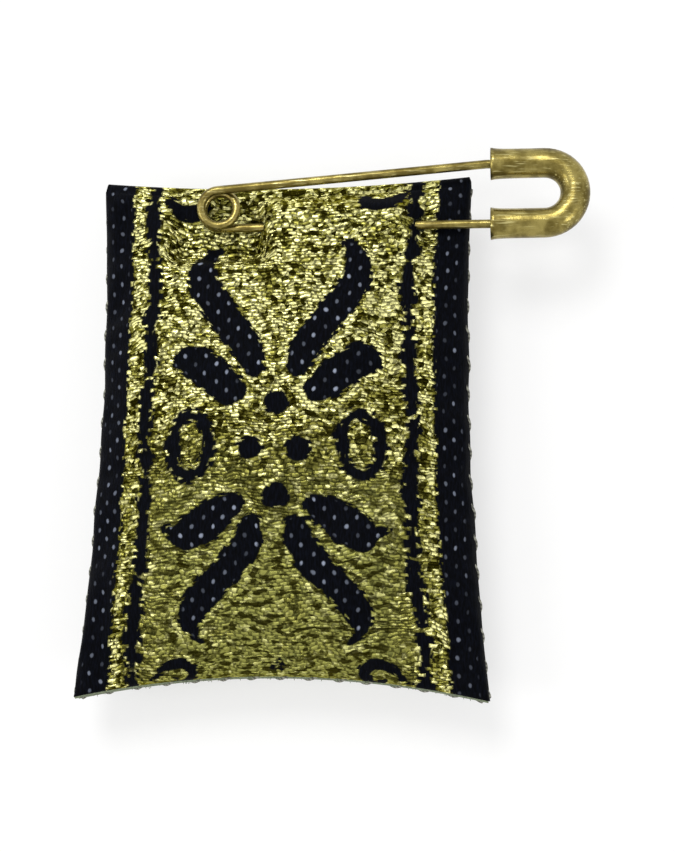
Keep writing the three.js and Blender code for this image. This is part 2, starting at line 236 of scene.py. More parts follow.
# The sewing threads and the frayed ends.
STITCH_PITCH = 2.0
STITCH_HALF_HEIGHT = 0.46
STITCH_HALF_DEPTH = 0.16
STITCH_INNER_SHARE = -0.55
STITCH_UNEVEN = 0.14
STITCH_RADIUS = 0.12
SEAM_INSET = 0.04
SEAM_POINTS = 60
THREAD_STEPS = 14
THREAD_SIDES = 8
FRAY_COUNT = 130
FRAY_SPAN_SHARES = (-0.98, 0.98)
FRAY_HEIGHTS = (EDGE_INNER + 0.1, EDGE_OUTER - 0.08)
FRAY_LENGTHS = (0.08, 0.24)
FRAY_LEAN = 0.35
FRAY_DROPS = (-0.1, 0.5)
FRAY_ROOT = 0.15
FRAY_CURL_POWERS = (1.5, 2)
FRAY_RADIUS = 0.035
FRAY_STEPS = 5
FRAY_SIDES = 4
FRAY_SEED = 21

# Each seam: its piece, its node, the way it faces, its ends in shares across and along, and its seed.
SEAMS = (
    ("side_stitches_left", "side_seam_left", (-1, 0), ((-1, -0.985), (-1, 0.99)), 2),
    ("side_stitches_right", "side_seam_right", (1, 0), ((1, -0.985), (1, 0.99)), 4),
    ("bottom_stitches", "bottom_seam", (0, -1), ((-0.97, -1), (0.97, -1)), 11),
)

# The stuffing. Each layer of cotton: its node, its seed and its piece.
COTTON_LAYERS = (("wadding_front", 3, "cotton_front"), ("wadding_back", 8, "cotton_back"))
COTTON_CUTS = 3
COTTON_SMOOTHING_SHARE = 0.5
TUFT_DEPTH = 0.35
TUFT_SIZE = 1.6
TUFT_LEVEL = 0.6
TUFT_FRACTAL = (1, 2, 3)
WELD_DISTANCE = 0.001

# The gold: rows of flat thread, crushed into small facets. Its glints are painted highlights and painted
# dark reflections in its colour, brighter towards the top end, where the light falls. It is matte in the
# lower half, where its painted glints are fewer.
FLOAT_LENGTH = 0.62
FLOAT_PITCH = 0.25
FLOAT_STEP_SHARE = 0.36
FLOAT_CROWN_POWER = 2.5
FLOAT_LUCK_LAYER = 0.5
TIE_SHARES = (0.17, 0.068)
SWAY_ACROSS = 1.3
SWAY_ALONG = 0.7
PRESSED_STRETCH = 0.6
CRINKLE_SIZE = 0.36
CRINKLE_SQUEEZE = (1.0, 1.15, 1.0)
# The glints below are painted highlights and painted dark reflections in the gold's colour.
GLINT_SHARES = (0.56, 0.36, 0.4)
GLINT_LEVELS = (0.71, 0.63)
GLINT_SPREADS = (1.45, 1.9)
MATTE_AND_SHADED_SPREAD = 0.7
# Along this span the painted glints grow brighter towards the top end, where the light falls.
LIT_END = (-3.0, 6.0)
# Where the gold is matte and its painted glints are fewer: the roughness is real, the evened-out colour is
# painted shade.
MATTE_AND_SHADED_FROM = (1.0, -9.0)
MATTE_AND_SHADED_UNTIL = (-22.0, -17.0)
MATTE_AND_SHADED_SIDES = (11.0, 6.5)
MATTE_AND_SHADED_PATCHES = (0.26, 0.46)
DARK_GLINTS = (0.14, 0.42)
BRIGHT_GLINTS = (0.56, 0.8)
DASHES = (0.49, 0.57)
DASH_DARKNESS = (0.3, 0.95)
# Painted shade in the hollows between the rows of thread.
SHADED_HOLLOWS = (0.0, 0.5)
HOLLOW_SHADE_SHARE = 0.6
HOLLOW_SHADE_DARKNESS = (0.75, 0.6)
MATTE_AND_SHADED_COLOUR_SHARE = 0.6
GOLD_ROUGHNESS = (0.2, 0.4)
MATTE_ROUGHNESS = 0.5
GOLD_METALLIC = (0.95, 0.6)
BROCADE_SPECULAR = 0.05
HALO_LIFT = 0.16
HALO_START = (0.05, 0.25)
HALO_END = (0.75, 0.5)
ECHO_PLACE = 0.95
ECHO_WIDTHS = (0.22, 0.06)
ECHO_REACH = (9.0, 8.4)
ECHO_BREAKS = (0.25, 0.4)
ECHO_SHARE = 0.6
RAGGED_EDGE = 0.32
THREAD_CROWN = 0.8
FACET_SLANTS = (4.2, 1.5)
NAVY_EDGE = (-0.05, 0.07)
LOOP_EDGE = (-0.1, 0.14)
LOOP_STRENGTH = 0.7
RIBBED_EDGE = (0.0, 0.1)

# The ribbed fields on the back, and the pale points in the navy.
RIB_PITCH = 0.32
RIB_DRIFT = 0.5
# Painted shade in the grooves between the ribs.
RIB_SHADE_TONES = (0.35, 1.05)
PICK_GLINTS = (0.55, 0.75)
PICK_SHARE = 0.5
PICK_GLINT_SHARE = 0.4
YARN_TONES = (0.35, 0.75)
YARN_RELIEF_SHARE = 0.5
POINT_RELIEF_SHARE = 0.4
NAVY_DROP = 0.3
NAVY_ROUGHNESS = 0.75
LATTICE_COLUMN = 0.74
LATTICE_PITCH = 1.22
LATTICE_DOT = 0.13
LATTICE_DOT_SHARES = (0.5, 1.2)
DOT_STRETCH_SHARE = 0.75
LATTICE_JITTER = 0.45
LATTICE_LUCK_LAYER = 3.5
POINT_LEAST_SHARE = 0.12
POINT_LUCK_POWER = 1.6
POINTS_FROM_EDGE = (-0.1, -0.4)
POINTS_FROM_SELVEDGE = (-1.8, -1.5)
BAND_POINT_SHARE = 0.6
BAND_POINT_FADE = 1

# The thread, the brass and the floor. Two values are for the low and the high end of a grain.
PLY_RATES = {"seam_thread": 11, "fray_thread": 17}
PLY_TONES = (-0.6, 0.9)
PLY_FUZZ_SHARE = 0.6
FIBRE_RELIEF_SHARE = 0.3
THREAD_ROUGHNESS = (0.9, 0.7)
TARNISH_TONES = (0.35, 0.68)
DRAWN_TONES = (0.55, 0.8)
SPECK_TONES = (0.68, 0.78)
SPECK_RELIEF_SHARE = 0.5
RUBBED_TONES = (0.3, 0.7)
BRASS_ROUGHNESS = (0.42, 0.22)
BRASS_METALLIC = (0.9, 1.0)
FLOOR_ROUGHNESS = 0.9

# Their grains and the brocade's: a rate, or three where the grain is drawn out, a detail and a roughness.
GRAINS = {
    "sway": (0.8, 2, 0.5),
    "matte and shaded patches": (0.42, 3, 0.6),
    "gold": (4.5, 2, 0.7),
    "dashes": ((1.2, 2.4, 0), 2, 0.5),
    "rib drift": (0.25, 1, 0.5),
    "crossing wefts": ((1.1, 4.2, 0), 2, 0.6),
    "lattice drift": (0.9, 1, 0.5),
    "navy yarn": ((7, 1.6, 0), 2, 0.6),
    "fibres": (12, 3, 0.7),
    "tarnish": (0.7, 4, 0.6),
    "specks": (6, 2, 0.6),
    "drawn lines": ((0.6, 9, 9), 2, 0.5),
    "floor": (0.8, 2, 0.5),
}

# How far the relief of each finish stands out.
RELIEFS = {
    "brocade": 0.11,
    "brocade_reverse": 0.1,
    "seam_thread": 0.05,
    "fray_thread": 0.05,
    "pin_brass": 0.012,
    "cotton": 0.35,
    "paper": 0.06,
    "dried_plant": 0.12,
    "resin": 0.15,
}

# The view.
CAMERA_AIM = (3.7, 0.6, 4)
CAMERA_DISTANCE = 130
CAMERA_AZIMUTH = math.radians(38)
CAMERA_ELEVATION = math.radians(79.5)
CAMERA_ROLL = math.radians(0.6)
CAMERA_LENS = 80
HALF_FLOOR = 3000
FLOOR_DROP = 0.02
FLOOR_WHITE = (60, 260)
FLOOR_NEAR_WHITE_SHARE = 0.6

# Each lamp: its name, its place over the object, its size in millimetres, and its strength in watts.
LAMPS = (
    ("lamp_high", (-70, 190, 300), 170, 0.62),
    ("lamp_left", (-280, -60, 260), 150, 0.3),
    ("lamp_right", (240, -150, 220), 120, 0.16),
)
SKY_LIGHT = 0.62

# Colours as the eye sees them, red, green and blue up to 255.
# The gold's dark colour is painted shade and painted dark reflections, and also the faint woven loops and
# lines; its bright colour is a painted highlight.
GOLD_DARK_AND_SHADE = (36, 33, 4)
GOLD_MIDDLE = (146, 142, 66)
GOLD_HIGHLIGHT = (250, 246, 168)
# The even gold of the matte lower half, where less light falls: partly painted shade.
GOLD_MATTE_AND_SHADED = (142, 144, 80)
GOLD_EDGE = (214, 206, 140)
GOLD_RIB = (128, 127, 80)
NAVY = (3, 4, 9)
# Painted light on the raised navy yarn.
NAVY_RAISED_LIT = (9, 12, 22)
NAVY_POINT = (146, 154, 172)
SEAM_THREAD = (150, 150, 136)
# Painted shade in the grooves between the thread's plies.
SEAM_THREAD_SHADE = (92, 92, 84)
REVERSE = (96, 106, 84)
REVERSE_PALE = (136, 146, 116)
BRASS = (158, 144, 82)
BRASS_DARK = (96, 84, 38)
BRASS_PALE = (206, 196, 136)
COTTON = (236, 230, 214)
COTTON_SHADE = (206, 198, 178)
PAPER = (226, 208, 160)
PAPER_STAIN = (184, 158, 104)
PAPER_FIBRE = (240, 228, 190)
PETAL = (150, 92, 70)
PETAL_DARK = (92, 50, 38)
RESIN = (176, 104, 36)
RESIN_PALE = (226, 176, 92)
FLOOR_COLOUR = (247, 247, 246)
FLOOR_PALE = (250, 250, 249)
FULL_WHITE = (255, 255, 255)

# The plain finishes. Each has its grains; each grain's share of the relief; a first colour, and the
# colours that its grains bring in, with where they start and end; and its roughness along a grain.
FINISHES = {
    "brocade_reverse": (
        {"wefts": ((6, 1, 9), 3, 0.6)},
        {"wefts": 1},
        (REVERSE, ("wefts", 0.35, 0.65, REVERSE_PALE)),
        ("wefts", 0.8, 0.95),
    ),
    "cotton": (
        {"tufts": (1.4, 5, 0.7), "hairs": (9, 3, 0.8)},
        {"tufts": 1, "hairs": 0.3},
        (COTTON_SHADE, ("tufts", 0.3, 0.7, COTTON)),
        ("hairs", 0.9, 1.0),
    ),
    "paper": (
        {"fibres": (3.2, 5, 0.75), "stains": (0.35, 3, 0.5)},
        {"fibres": 1},
        (PAPER, ("stains", 0.45, 0.7, PAPER_STAIN), ("fibres", 0.6, 0.75, PAPER_FIBRE)),
        ("fibres", 0.75, 0.9),
    ),
    "dried_plant": (
        {"mottle": (2.2, 5, 0.65)},
        {"mottle": 1},
        (PETAL_DARK, ("mottle", 0.35, 0.65, PETAL)),
        ("mottle", 0.7, 0.88),
    ),
    "resin": (
        {"mottle": (1.6, 4, 0.6)},
        {"mottle": 1},
        (RESIN, ("mottle", 0.35, 0.65, RESIN_PALE)),
        ("mottle", 0.2, 0.45),
    ),
}

# The solids that stay as they are, each with its finish.
DRESSED_NODES = {"packet_wrapper": "paper", "dried_blossom": "dried_plant", "incense_grain": "resin"}


def linear(colour):
    """A colour as the eye sees it, as the light that Blender mixes."""
    parts = [c / 255 for c in colour]
    return [p / 12.92 if p <= 0.04045 else ((p + 0.055) / 1.055) ** 2.4 for p in parts] + [1]


def blend_step(low, high, value):
    """Goes smoothly from 0 at low to 1 at high."""
    share = np.clip((value - low) / (high - low), 0, 1)
    return share * share * (3 - 2 * share)


def within(value, span, blend, high_blend=None):
    """1 inside the span, and falling smoothly to 0 outside it."""
    low, high = span
    falling = 1 - blend_step(high, high + (high_blend or blend), value)
    return blend_step(low - blend, low, value) * falling


def points_at(x, y, z):
    """Points from their coordinates, of which some may be one number for all."""
    return np.stack(np.broadcast_arrays(x, y, z), axis=-1)


# The shape of the pouch.


def swell(share):
    return np.maximum(0, 1 - share * share) ** SWELL_POWER


def half_width_at(t):
    flare = BOTTOM_FLARE * ((1 - t) / 2) ** 2
    return HALF_RIBBON + flare - SIDE_DRAW_IN * (1 - t * t)


def place_of(s, t):
    """Where a point of the flat ribbon lies in plan, from its shares across and along."""
    bow = 1 - s * s
    top = t * (FOLD_LINE - TOP_DRAW_IN * bow)
    bottom = t * (HALF_POUCH - BOTTOM_DRAW_IN * bow)
    return s * half_width_at(t), np.where(t > 0, top, bottom)


def lumps(x, y, seed):
    """Broad soft lumps of the filling, mostly from -1 to 1."""
    rng = np.random.default_rng(seed)
    total = np.zeros_like(x)
    for _ in range(LUMP_WAVES):
        angle = rng.uniform(0, math.pi)
        rate = rng.uniform(*LUMP_RATE_SHARES) * 2 * math.pi / LUMP_SIZE
        phase = rng.uniform(0, 2 * math.pi)
        total += LUMP_SHARE * np.sin(rate * (x * math.cos(angle) + y * math.sin(angle)) + phase)
    return total


def puckers(s, t, x, y, seed):
    """Short creases that run in from the sewn sides and the sewn bottom."""
    rng = np.random.default_rng(seed)
    phase = rng.uniform(0, 2 * math.pi, 3)
    drift = sum(size * np.sin(rate * y + start) for (size, rate), start in zip(PUCKER_DRIFTS, phase))
    from_side = (1 - np.abs(s)) * HALF_RIBBON
    from_bottom = (1 + t) * HALF_POUCH
    side = np.sin(2 * math.pi * y / PUCKER_PITCH + drift + np.sign(s) * phase[2])
    bottom = np.sin(2 * math.pi * x / (PUCKER_PITCH * PUCKER_BOTTOM_STRETCH) + drift + phase[0])
    return side * pucker_share(from_side) + bottom * pucker_share(from_bottom)


def pucker_share(from_seam):
    """How strong a crease is at a distance from its seam: nothing on the seam itself."""
    fading = np.exp(-((from_seam / PUCKER_REACH) ** 2))
    return fading * (1 - np.exp(-from_seam * PUCKER_EDGE_RATE))


def pin_shares(x, y):
    """How far each point belongs to the cloth pressed under the pin, and raised over its needle."""
    dent = within(x, DENT_X, DENT_BLEND, WALL_RUN) * within(y, DENT_Y, DENT_BLEND)
    exit_dent = within(x, EXIT_DENT_X, WALL_RUN) * within(y, TUNNEL_Y, RIDGE_BLEND)
    ridge = within(x, TUNNEL_X, WALL_RUN) * within(y, TUNNEL_Y, RIDGE_BLEND, RIDGE_TOP_BLEND)
    return np.maximum(dent, exit_dent), ridge


def grid_faces(index, is_flipped):
    """Quads between the points of a grid of point numbers."""
    a, b = index[:-1, :-1], index[:-1, 1:]
    c, d = index[1:, 1:], index[1:, :-1]
    order = (a, d, c, b) if is_flipped else (a, b, c, d)
    return np.stack(order, axis=2).reshape(-1, 4)


def blurred(grid, passes):
    """A grid of heights, smoothed with its neighbours a number of times."""
    for _ in range(passes):
        wide = np.pad(grid, 1, mode="edge")
        grid = (wide[:-2, 1:-1] + wide[2:, 1:-1] + wide[1:-1, :-2] + wide[1:-1, 2:] + 2 * grid) / 6
    return grid


def closed_pillow(s, t):
    """The pouch's two faces as one closed skin: its points, its faces, and each side's point numbers."""
    rows, columns = np.meshgrid(t, s, indexing="ij")
    x, y = place_of(columns, rows)
    height = CROWN_HEIGHT * swell(columns) * swell(rows)
    upper, lower = (1 + START_UNEVEN_SHARE * lumps(x, y, seed) for seed in SETTLE_SEEDS)
    upper = points_at(x, y, height * upper)
    lower = points_at(x, y, -height * lower)
    inner = (slice(1, -1), slice(1, -1))
    front = np.arange(height.size).reshape(height.shape)
    back = front.copy()
    back[inner] = height.size + np.arange(height[inner].size).reshape(height[inner].shape)
    points = np.vstack([upper.reshape(-1, 3), lower[inner].reshape(-1, 3)])
    faces = np.vstack([grid_faces(front, False), grid_faces(back, True)])
    return points, faces, front, back


def settle(pillow, sewn):
    """Blows the pillow up a little inside its sewn edge, and gives where its points come to rest."""
    pillow.vertex_groups.new(name="sewn").add(sewn, 1.0, "REPLACE")
    cloth = pillow.modifiers.new("settle", "CLOTH")
    for name, value in CLOTH_SETTINGS.items():
        setattr(cloth.settings, name, value)
    cloth.settings.vertex_group_mass = "sewn"
    cloth.settings.effector_weights.gravity = 0
    cloth.collision_settings.use_collision = False
    for step in range(1, SETTLE_FRAMES + 1):
        bpy.context.scene.frame_set(step)
    settled = pillow.evaluated_get(bpy.context.evaluated_depsgraph_get()).data
    places = np.empty(3 * len(settled.vertices), np.float32)
    settled.vertices.foreach_get("co", places)
    return places.reshape(-1, 3) / (MM * SETTLE_SCALE)


def settled_faces():
    """The filled cloth's creases: shares across and along, and each side's heights, from a simulation."""
    s = np.linspace(-1, 1, SETTLE_COLUMNS)
    t = np.linspace(-1, 1, SETTLE_ROWS)
    points, faces, front, back = closed_pillow(s, t)
    pillow = make_object("settling", points * SETTLE_SCALE, faces)
    sewn = np.concatenate([front[0], front[-1], front[:, 0], front[:, -1]])
    moved = settle(pillow, sewn.tolist())[:, 2] - points[:, 2]
    mesh = pillow.data
    bpy.data.objects.remove(pillow)
    bpy.data.meshes.remove(mesh)
    bpy.context.scene.frame_set(1)
    fine_s = np.linspace(-1, 1, SETTLE_FINER * SETTLE_COLUMNS)
    fine_t = np.linspace(-1, 1, SETTLE_FINER * SETTLE_ROWS)
    found = {}
    for side, index in ((1, front), (-1, back)):
        offset = side * moved[index]
        creases = np.clip(offset - blurred(offset, BROAD_PASSES), -SETTLE_CAP, SETTLE_CAP)
        wide = np.stack([np.interp(fine_s, s, row) for row in creases])
        tall = np.stack([np.interp(fine_t, t, column) for column in wide.T], axis=1)
        found[side] = blurred(tall, SMOOTH_PASSES)
    return fine_s, fine_t, found


def settled_offset(settled, s, t, side):
    """The creases' height along one row of the cloth."""
    known_s, known_t, found = settled
    place = np.interp(t, known_t, np.arange(len(known_t)))
    low = min(int(place), len(known_t) - 2)
    row = found[side][low] + (place - low) * (found[side][low + 1] - found[side][low])
    return np.interp(s, known_s, row)


def face_height(s, t, side, is_plain, settled):
    """How far the cloth's outer face stands off the pouch's middle plane."""
    x, y = place_of(s, t)
    matte_and_shaded = swell(s) * swell(t)
    plain = EDGE_OUTER + CROWN_HEIGHT * matte_and_shaded
    if is_plain:
        return plain
    uneven = LUMP_HEIGHT * matte_and_shaded * lumps(x, y, LUMP_SEED + side)
    uneven += PUCKER_HEIGHT * puckers(s, t, x, y, PUCKER_SEED + side)
    if settled:
        uneven += settled_offset(settled, s, t[0], side)
    if side < 0:
        return np.minimum(plain + uneven, MID_HEIGHT)
    near_pin = within(x, NEAR_PIN_X, NEAR_PIN_BLENDS[0]) * within(y, NEAR_PIN_Y, NEAR_PIN_BLENDS[1])
    height = plain + uneven * (1 - near_pin)
    pressed, raised = pin_shares(x, y)
    height += pressed * (np.minimum(height, DENT_HEIGHT) - height)
    return height + raised * (np.maximum(height, TUNNEL_HEIGHT) - height)


def crowded(count):
    """Shares from -1 to 1 that lie closer together towards both ends."""
    even = np.round(np.linspace(-1, 1, count), 9)
    curved = np.sin(even * math.pi / 2)
    return even + EDGE_CROWDING_SHARE * (curved - even)


def ribbon_rows():
    """From the front's cut edge over the fold to the back's: each row's share along, angle and side."""
    along = crowded(ALONG_COUNT)
    turn = np.linspace(math.pi / 2, -math.pi / 2, FOLD_COUNT + 2)
    front = [(t, turn[0], 1) for t in along]
    fold = [(1, angle, 0) for angle in turn[1:-1]]
    back = [(t, turn[-1], -1) for t in along[::-1]]
    return front + fold + back


def edge_waver(s, t, y):
    """How far the sewn sides stray from their smooth line."""
    quick, slow = EDGE_WAVER_RATES
    wave = np.sin(quick * y + 2 * np.sign(s)) + np.sin(slow * y - np.sign(s))
    return EDGE_WAVER * s**EDGE_WAVER_POWER * wave * (1 - np.abs(t))


def ribbon_layer(rows, s, is_outer, is_plain=False, settled=None):
    """The points of one face of the cloth, and where each lies on the flat ribbon."""
    loss = 0 if is_outer else RIBBON_THICKNESS
    points = []
    flat = []
    for t, angle, side in rows:
        shares = np.full_like(s, t)
        x, y = place_of(s, shares)
        x = x + edge_waver(s, shares, y)
        if side:
            z = side * (face_height(s, shares, side, is_plain, settled) - loss)
        else:
            z = (EDGE_OUTER - loss) * math.sin(angle)
            y = y + (EDGE_OUTER - loss) * math.cos(angle)
        flat_y = (t if side else 1) * (FOLD_LINE if t > 0 else HALF_POUCH)
        points.append(points_at(x, y, z + MID_HEIGHT))
        flat.append(points_at(s * HALF_RIBBON, flat_y, side))
    return np.array(points), np.array(flat)


def woven_places(smooth, pressed, rows):
    """How far each point lies across and along the smooth cloth, and how deep it is pressed below it."""
    middle_column = smooth.shape[1] // 2
    middle_row = [row[0] for row in rows].index(0)
    found = []
    for axis, middle in ((1, middle_column), (0, middle_row)):
        steps = np.linalg.norm(np.diff(smooth, axis=axis), axis=2)
        lengths = np.insert(np.cumsum(steps, axis=axis), 0, 0, axis=axis)
        found.append(lengths - np.take(lengths, [middle], axis=axis))
    return np.stack(found + [pressed], axis=2)


def add_object(name, data):
    added = bpy.data.objects.new(name, data)
    bpy.context.scene.collection.objects.link(added)
    return added


def make_object(name, points, faces):
    """A smooth mesh object from points in millimetres."""
    mesh = bpy.data.meshes.new(name)
    mesh.from_pydata((np.asarray(points, float) * MM).tolist(), [], [list(f) for f in faces])
    mesh.validate()
    mesh.shade_smooth()
    return add_object(name, mesh)


def put_on(piece, material, slot_name, body, *nodes):
    """Gives a piece its material and its place in the frame."""
    piece.data.materials.append(material)
    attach(piece, body)
    if nodes:
        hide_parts(*nodes)


# The woven figures, as distances to their edges, negative inside.


def smooth_line(points):
    """A smooth line through a few points, each with its width."""
    known = np.array(points, float)
    known = np.vstack([2 * known[0] - known[1], known, 2 * known[-1] - known[-2]])
    found = []
    for i in range(1, len(known) - 2):
        a, b, c, d = known[i - 1 : i + 3]
        for u in np.linspace(0, 1, CURVE_STEPS, endpoint=False):
            bend = (2 * a - 5 * b + 4 * c - d) * u * u + (3 * b - a - 3 * c + d) * u**3
            found.append((2 * b + (c - a) * u + bend) / 2)
    found.append(known[-2])
    return np.array(found)


def stroke_distance(x, y, points):
    """Distance to a stroke whose width changes from point to point."""
    line = smooth_line(points)
    nearest = np.full_like(x, np.inf)
    for (ax, ay, aw), (bx, by, bw) in zip(line[:-1], line[1:]):
        span = max((bx - ax) ** 2 + (by - ay) ** 2, 1e-9)
        share = np.clip(((x - ax) * (bx - ax) + (y - ay) * (by - ay)) / span, 0, 1)
        away = np.hypot(x - ax - share * (bx - ax), y - ay - share * (by - ay))
        nearest = np.minimum(nearest, away - (aw + share * (bw - aw)) / 2)
    return nearest


def nearest_stroke(x, y, strokes):
    return np.minimum.reduce([stroke_distance(x, y, stroke) for stroke in strokes.values()])


def oval_line_distance(x, y, centre, radii, width):
    dx = x - centre[0]
    dy = y - centre[1]
    reach = np.maximum(np.hypot(dx / radii[0], dy / radii[1]), 1e-3)
    return np.abs(1 - 1 / reach) * np.hypot(dx, dy) - width / 2


def border_distances(x, y):
    """The thin wavy line and the broad band along each selvedge."""
    wave = LINE_WAVE_SHARE * sum(size * np.sin(rate * y + start) for size, rate, start in LINE_WAVES)
    uneven = 0
    for size, quick, slant, slow, start in LINE_UNEVEN_WAVES:
        uneven += size * np.sin(quick * y + slant * x) * np.sin(slow * y + start)
    width = LINE_WIDTH_SHARE * (1 + LINE_UNEVEN_SHARE * uneven)
    line = np.abs(np.abs(x) - LINE_PLACE_SHARE - wave) - width / 2
    band = BAND_PLACE_SHARE + BAND_WAVE_SHARE * wave - np.abs(x)
    return THIN_LINE_FIRM_SHARE * line, band


def leaf_figures(x, y):
    """The front's motif of dots, rings, leaves and hooks: distances as in figure_distances, and no field."""
    side = np.abs(x)
    leaves = nearest_stroke(side, y, LEAF_SHARES)
    ring = oval_line_distance(side, y, RING_CENTRE_SHARES, RING_RADIUS_SHARES, RING_LINE_SHARE)
    navy = np.minimum(leaves, THIN_LINE_FIRM_SHARE * ring)
    navy = np.minimum(navy, nearest_stroke(side, y, HOOK_SHARES))
    loops = np.full_like(x, np.inf)
    for dx, dy in DOT_SHARES:
        away = np.hypot(x - dx, y - dy)
        navy = np.minimum(navy, away - DOT_RADIUS_SHARE)
        loops = np.minimum(loops, np.abs(away - LOOP_RADIUS_SHARE))
    return navy, leaves, loops - LOOP_LINE_SHARE / 2, np.full_like(x, -1.0)


def smooth_least(a, b, size):
    """The lesser of two distances, with the corner between them rounded."""
    share = np.clip(0.5 + (b - a) / (2 * size), 0, 1)
    return b + (a - b) * share - size * share * (1 - share)


def cross_figures(x, y):
    """The back's motif: a cross with barred ends, a diamond in it, and ribbed fields round it."""
    side = np.abs(x)
    rise = np.abs(y)
    along = np.maximum(side - CROSS_ARM_SHARES[0], rise - CROSS_REACH_SHARES[1])
    across = np.maximum(rise - CROSS_ARM_SHARES[1], side - CROSS_REACH_SHARES[0])
    cross = smooth_least(along, across, CROSS_ROUND_SHARE)
    navy = np.abs(cross) - CROSS_LINE_SHARE / 2
    steepness = math.hypot(1 / DIAMOND_SHARES[0], 1 / DIAMOND_SHARES[1])
    diamond = (side / DIAMOND_SHARES[0] + rise / DIAMOND_SHARES[1] - 1) / steepness
    navy = np.minimum(navy, np.abs(diamond) - DIAMOND_LINE_SHARE / 2)
    navy = np.minimum(navy, nearest_stroke(side, rise, BACK_STROKE_SHARES))
    field = np.minimum(RIBBED_REACH_SHARES[0] - side, RIBBED_REACH_SHARES[1] - rise)
    return navy, np.full_like(x, 1.0), np.full_like(x, 1.0), np.minimum(cross, field)


def figure_distances(flat):
    """For each point: distances to the navy, the pointed navy, the faint loops and the ribbed field."""
    x = flat[:, 0] / HALF_RIBBON
    y = flat[:, 1] / HALF_RIBBON - MOTIF_DROP_SHARE
    on_back = flat[:, 2] < 0
    found = [np.where(on_back, b, f) for f, b in zip(leaf_figures(x, y), cross_figures(x, y))]
    line, band = border_distances(x, y)
    found[0] = np.minimum(found[0], np.where(on_back, band, np.minimum(line, band)))
    found[1] = np.minimum(found[1], band)
    return np.stack(found, axis=1) * HALF_RIBBON


# The cloth.


def open_needle_holes(points, faces):
    """Draws the points beside the needle back to its holes' edge, and says which quads stay."""
    dy = points[:, 1] - PIN_Y
    dz = points[:, 2] - PIN_Z
    away = np.hypot(dy, dz)
    centres = points[faces].mean(axis=1)
    gone = np.hypot(centres[:, 1] - PIN_Y, centres[:, 2] - PIN_Z) < HOLE_RADIUS
    gone &= centres[:, 0] > COIL_X
    near = (points[:, 0] > COIL_X) & (away < HOLE_RADIUS)
    stretch = HOLE_RADIUS / np.maximum(away[near], 1e-3)
    points[near, 1] = PIN_Y + dy[near] * stretch
    points[near, 2] = PIN_Z + dz[near] * stretch
    return ~gone


def brocade_mesh():
    """The ribbon's points, faces and faces' materials, and the points' places on it and in the weave."""
    s = crowded(ACROSS_COUNT)
    rows = ribbon_rows()
    settled = settled_faces()
    outer, flat = ribbon_layer(rows, s, True, settled=settled)
    inner, _ = ribbon_layer(rows, s, False, settled=settled)
    smooth, _ = ribbon_layer(rows, s, True, is_plain=True)
    woven = woven_places(smooth, smooth[:, :, 2] - outer[:, :, 2], rows)
    index = np.arange(outer.shape[0] * outer.shape[1]).reshape(outer.shape[:2])
    count = index.size
    points = [outer.reshape(-1, 3), inner.reshape(-1, 3)]
    twins = [index.ravel(), index.ravel()]
    faces = [grid_faces(index, False), grid_faces(index + count, True)]
    kinds = [0, 1]
    start = 2 * count
    edges = ((index[:, 0], (-1, 0), True, 0), (index[:, -1], (1, 0), False, 0))
    edges += ((index[0], (0, -1), False, 1), (index[-1], (0, -1), True, 1))
    for line, outward, is_turned, kind in edges:
        between = (points[0][line] + points[1][line]) / 2
        between[:, :2] += RIM_BULGE * np.array(outward)
        points.append(between)
        twins.append(line)
        strip = grid_faces(np.stack([line, start + np.arange(len(line)), line + count]), True)
        faces.append(strip[:, ::-1] if is_turned else strip)
        kinds.append(kind)
        start += len(line)
    kinds = np.repeat(kinds, [len(part) for part in faces])
    points = np.vstack(points)
    faces = np.vstack(faces)
    twins = np.concatenate(twins)
    kept = open_needle_holes(points, faces)
    places = (flat.reshape(-1, 3)[twins], woven.reshape(-1, 3)[twins])
    return points, faces[kept], kinds[kept], *places


def brocade_pouch(front, reverse):
    """The folded ribbon as one sheet of cloth with its two faces and its edges."""
    points, faces, kinds, flat, woven = brocade_mesh()
    piece = make_object("brocade_pouch", points, faces)
    figures = figure_distances(flat)
    add_vectors(piece.data, "cloth", woven)
    add_vectors(piece.data, "figure", figures[:, :3])
    add_vectors(piece.data, "cross", figures[:, [3, 3, 3]])
    piece.data.materials.append(front)
    piece.data.materials.append(reverse)
    piece.data.polygons.foreach_set("material_index", kinds)
    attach(piece, "pouch")
    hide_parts("brocade_ribbon")


def add_vectors(mesh, name, values):
    """Stores a vector for each point of a mesh, for its material to read."""
    layer = mesh.attributes.new(name, "FLOAT_VECTOR", "POINT")
    layer.data.foreach_set("vector", np.asarray(values, np.float32).ravel())


# Threads and wires.


def directions(line):
    """The unit direction at each point of a line."""
    ahead = np.gradient(line, axis=0)
    return ahead / np.linalg.norm(ahead, axis=1)[:, None]


def tube_faces(rings, sides, is_turned=False):
    """Quads between rings of points that follow each other."""
    faces = []
    for i in range(rings - 1):
        for j in range(sides):
            a = i * sides + j
            b = i * sides + (j + 1) % sides
            faces.append((a, a + sides, b + sides, b) if is_turned else (a, b, b + sides, a + sides))
    return faces


def sweep(line, radii, sides):
    """Points and faces of a round tube along a line, whose radius may change on the way."""
    up = np.array([0.0, 0.0, 1.0])
    rings = []
    angles = np.linspace(0, 2 * math.pi, sides, endpoint=False)
    for place, way, radius in zip(line, directions(line), np.broadcast_to(radii, len(line))):
        up = up - way * (up @ way)
        up /= np.linalg.norm(up)
        across = np.cross(way, up)
        ring = np.outer(np.cos(angles), up) + np.outer(np.sin(angles), across)
        rings.append(place + radius * ring)
    faces = tube_faces(len(line), sides)
    faces.append(tuple(range(sides))[::-1])
    faces.append(tuple((len(line) - 1) * sides + j for j in range(sides)))
    return np.vstack(rings), faces


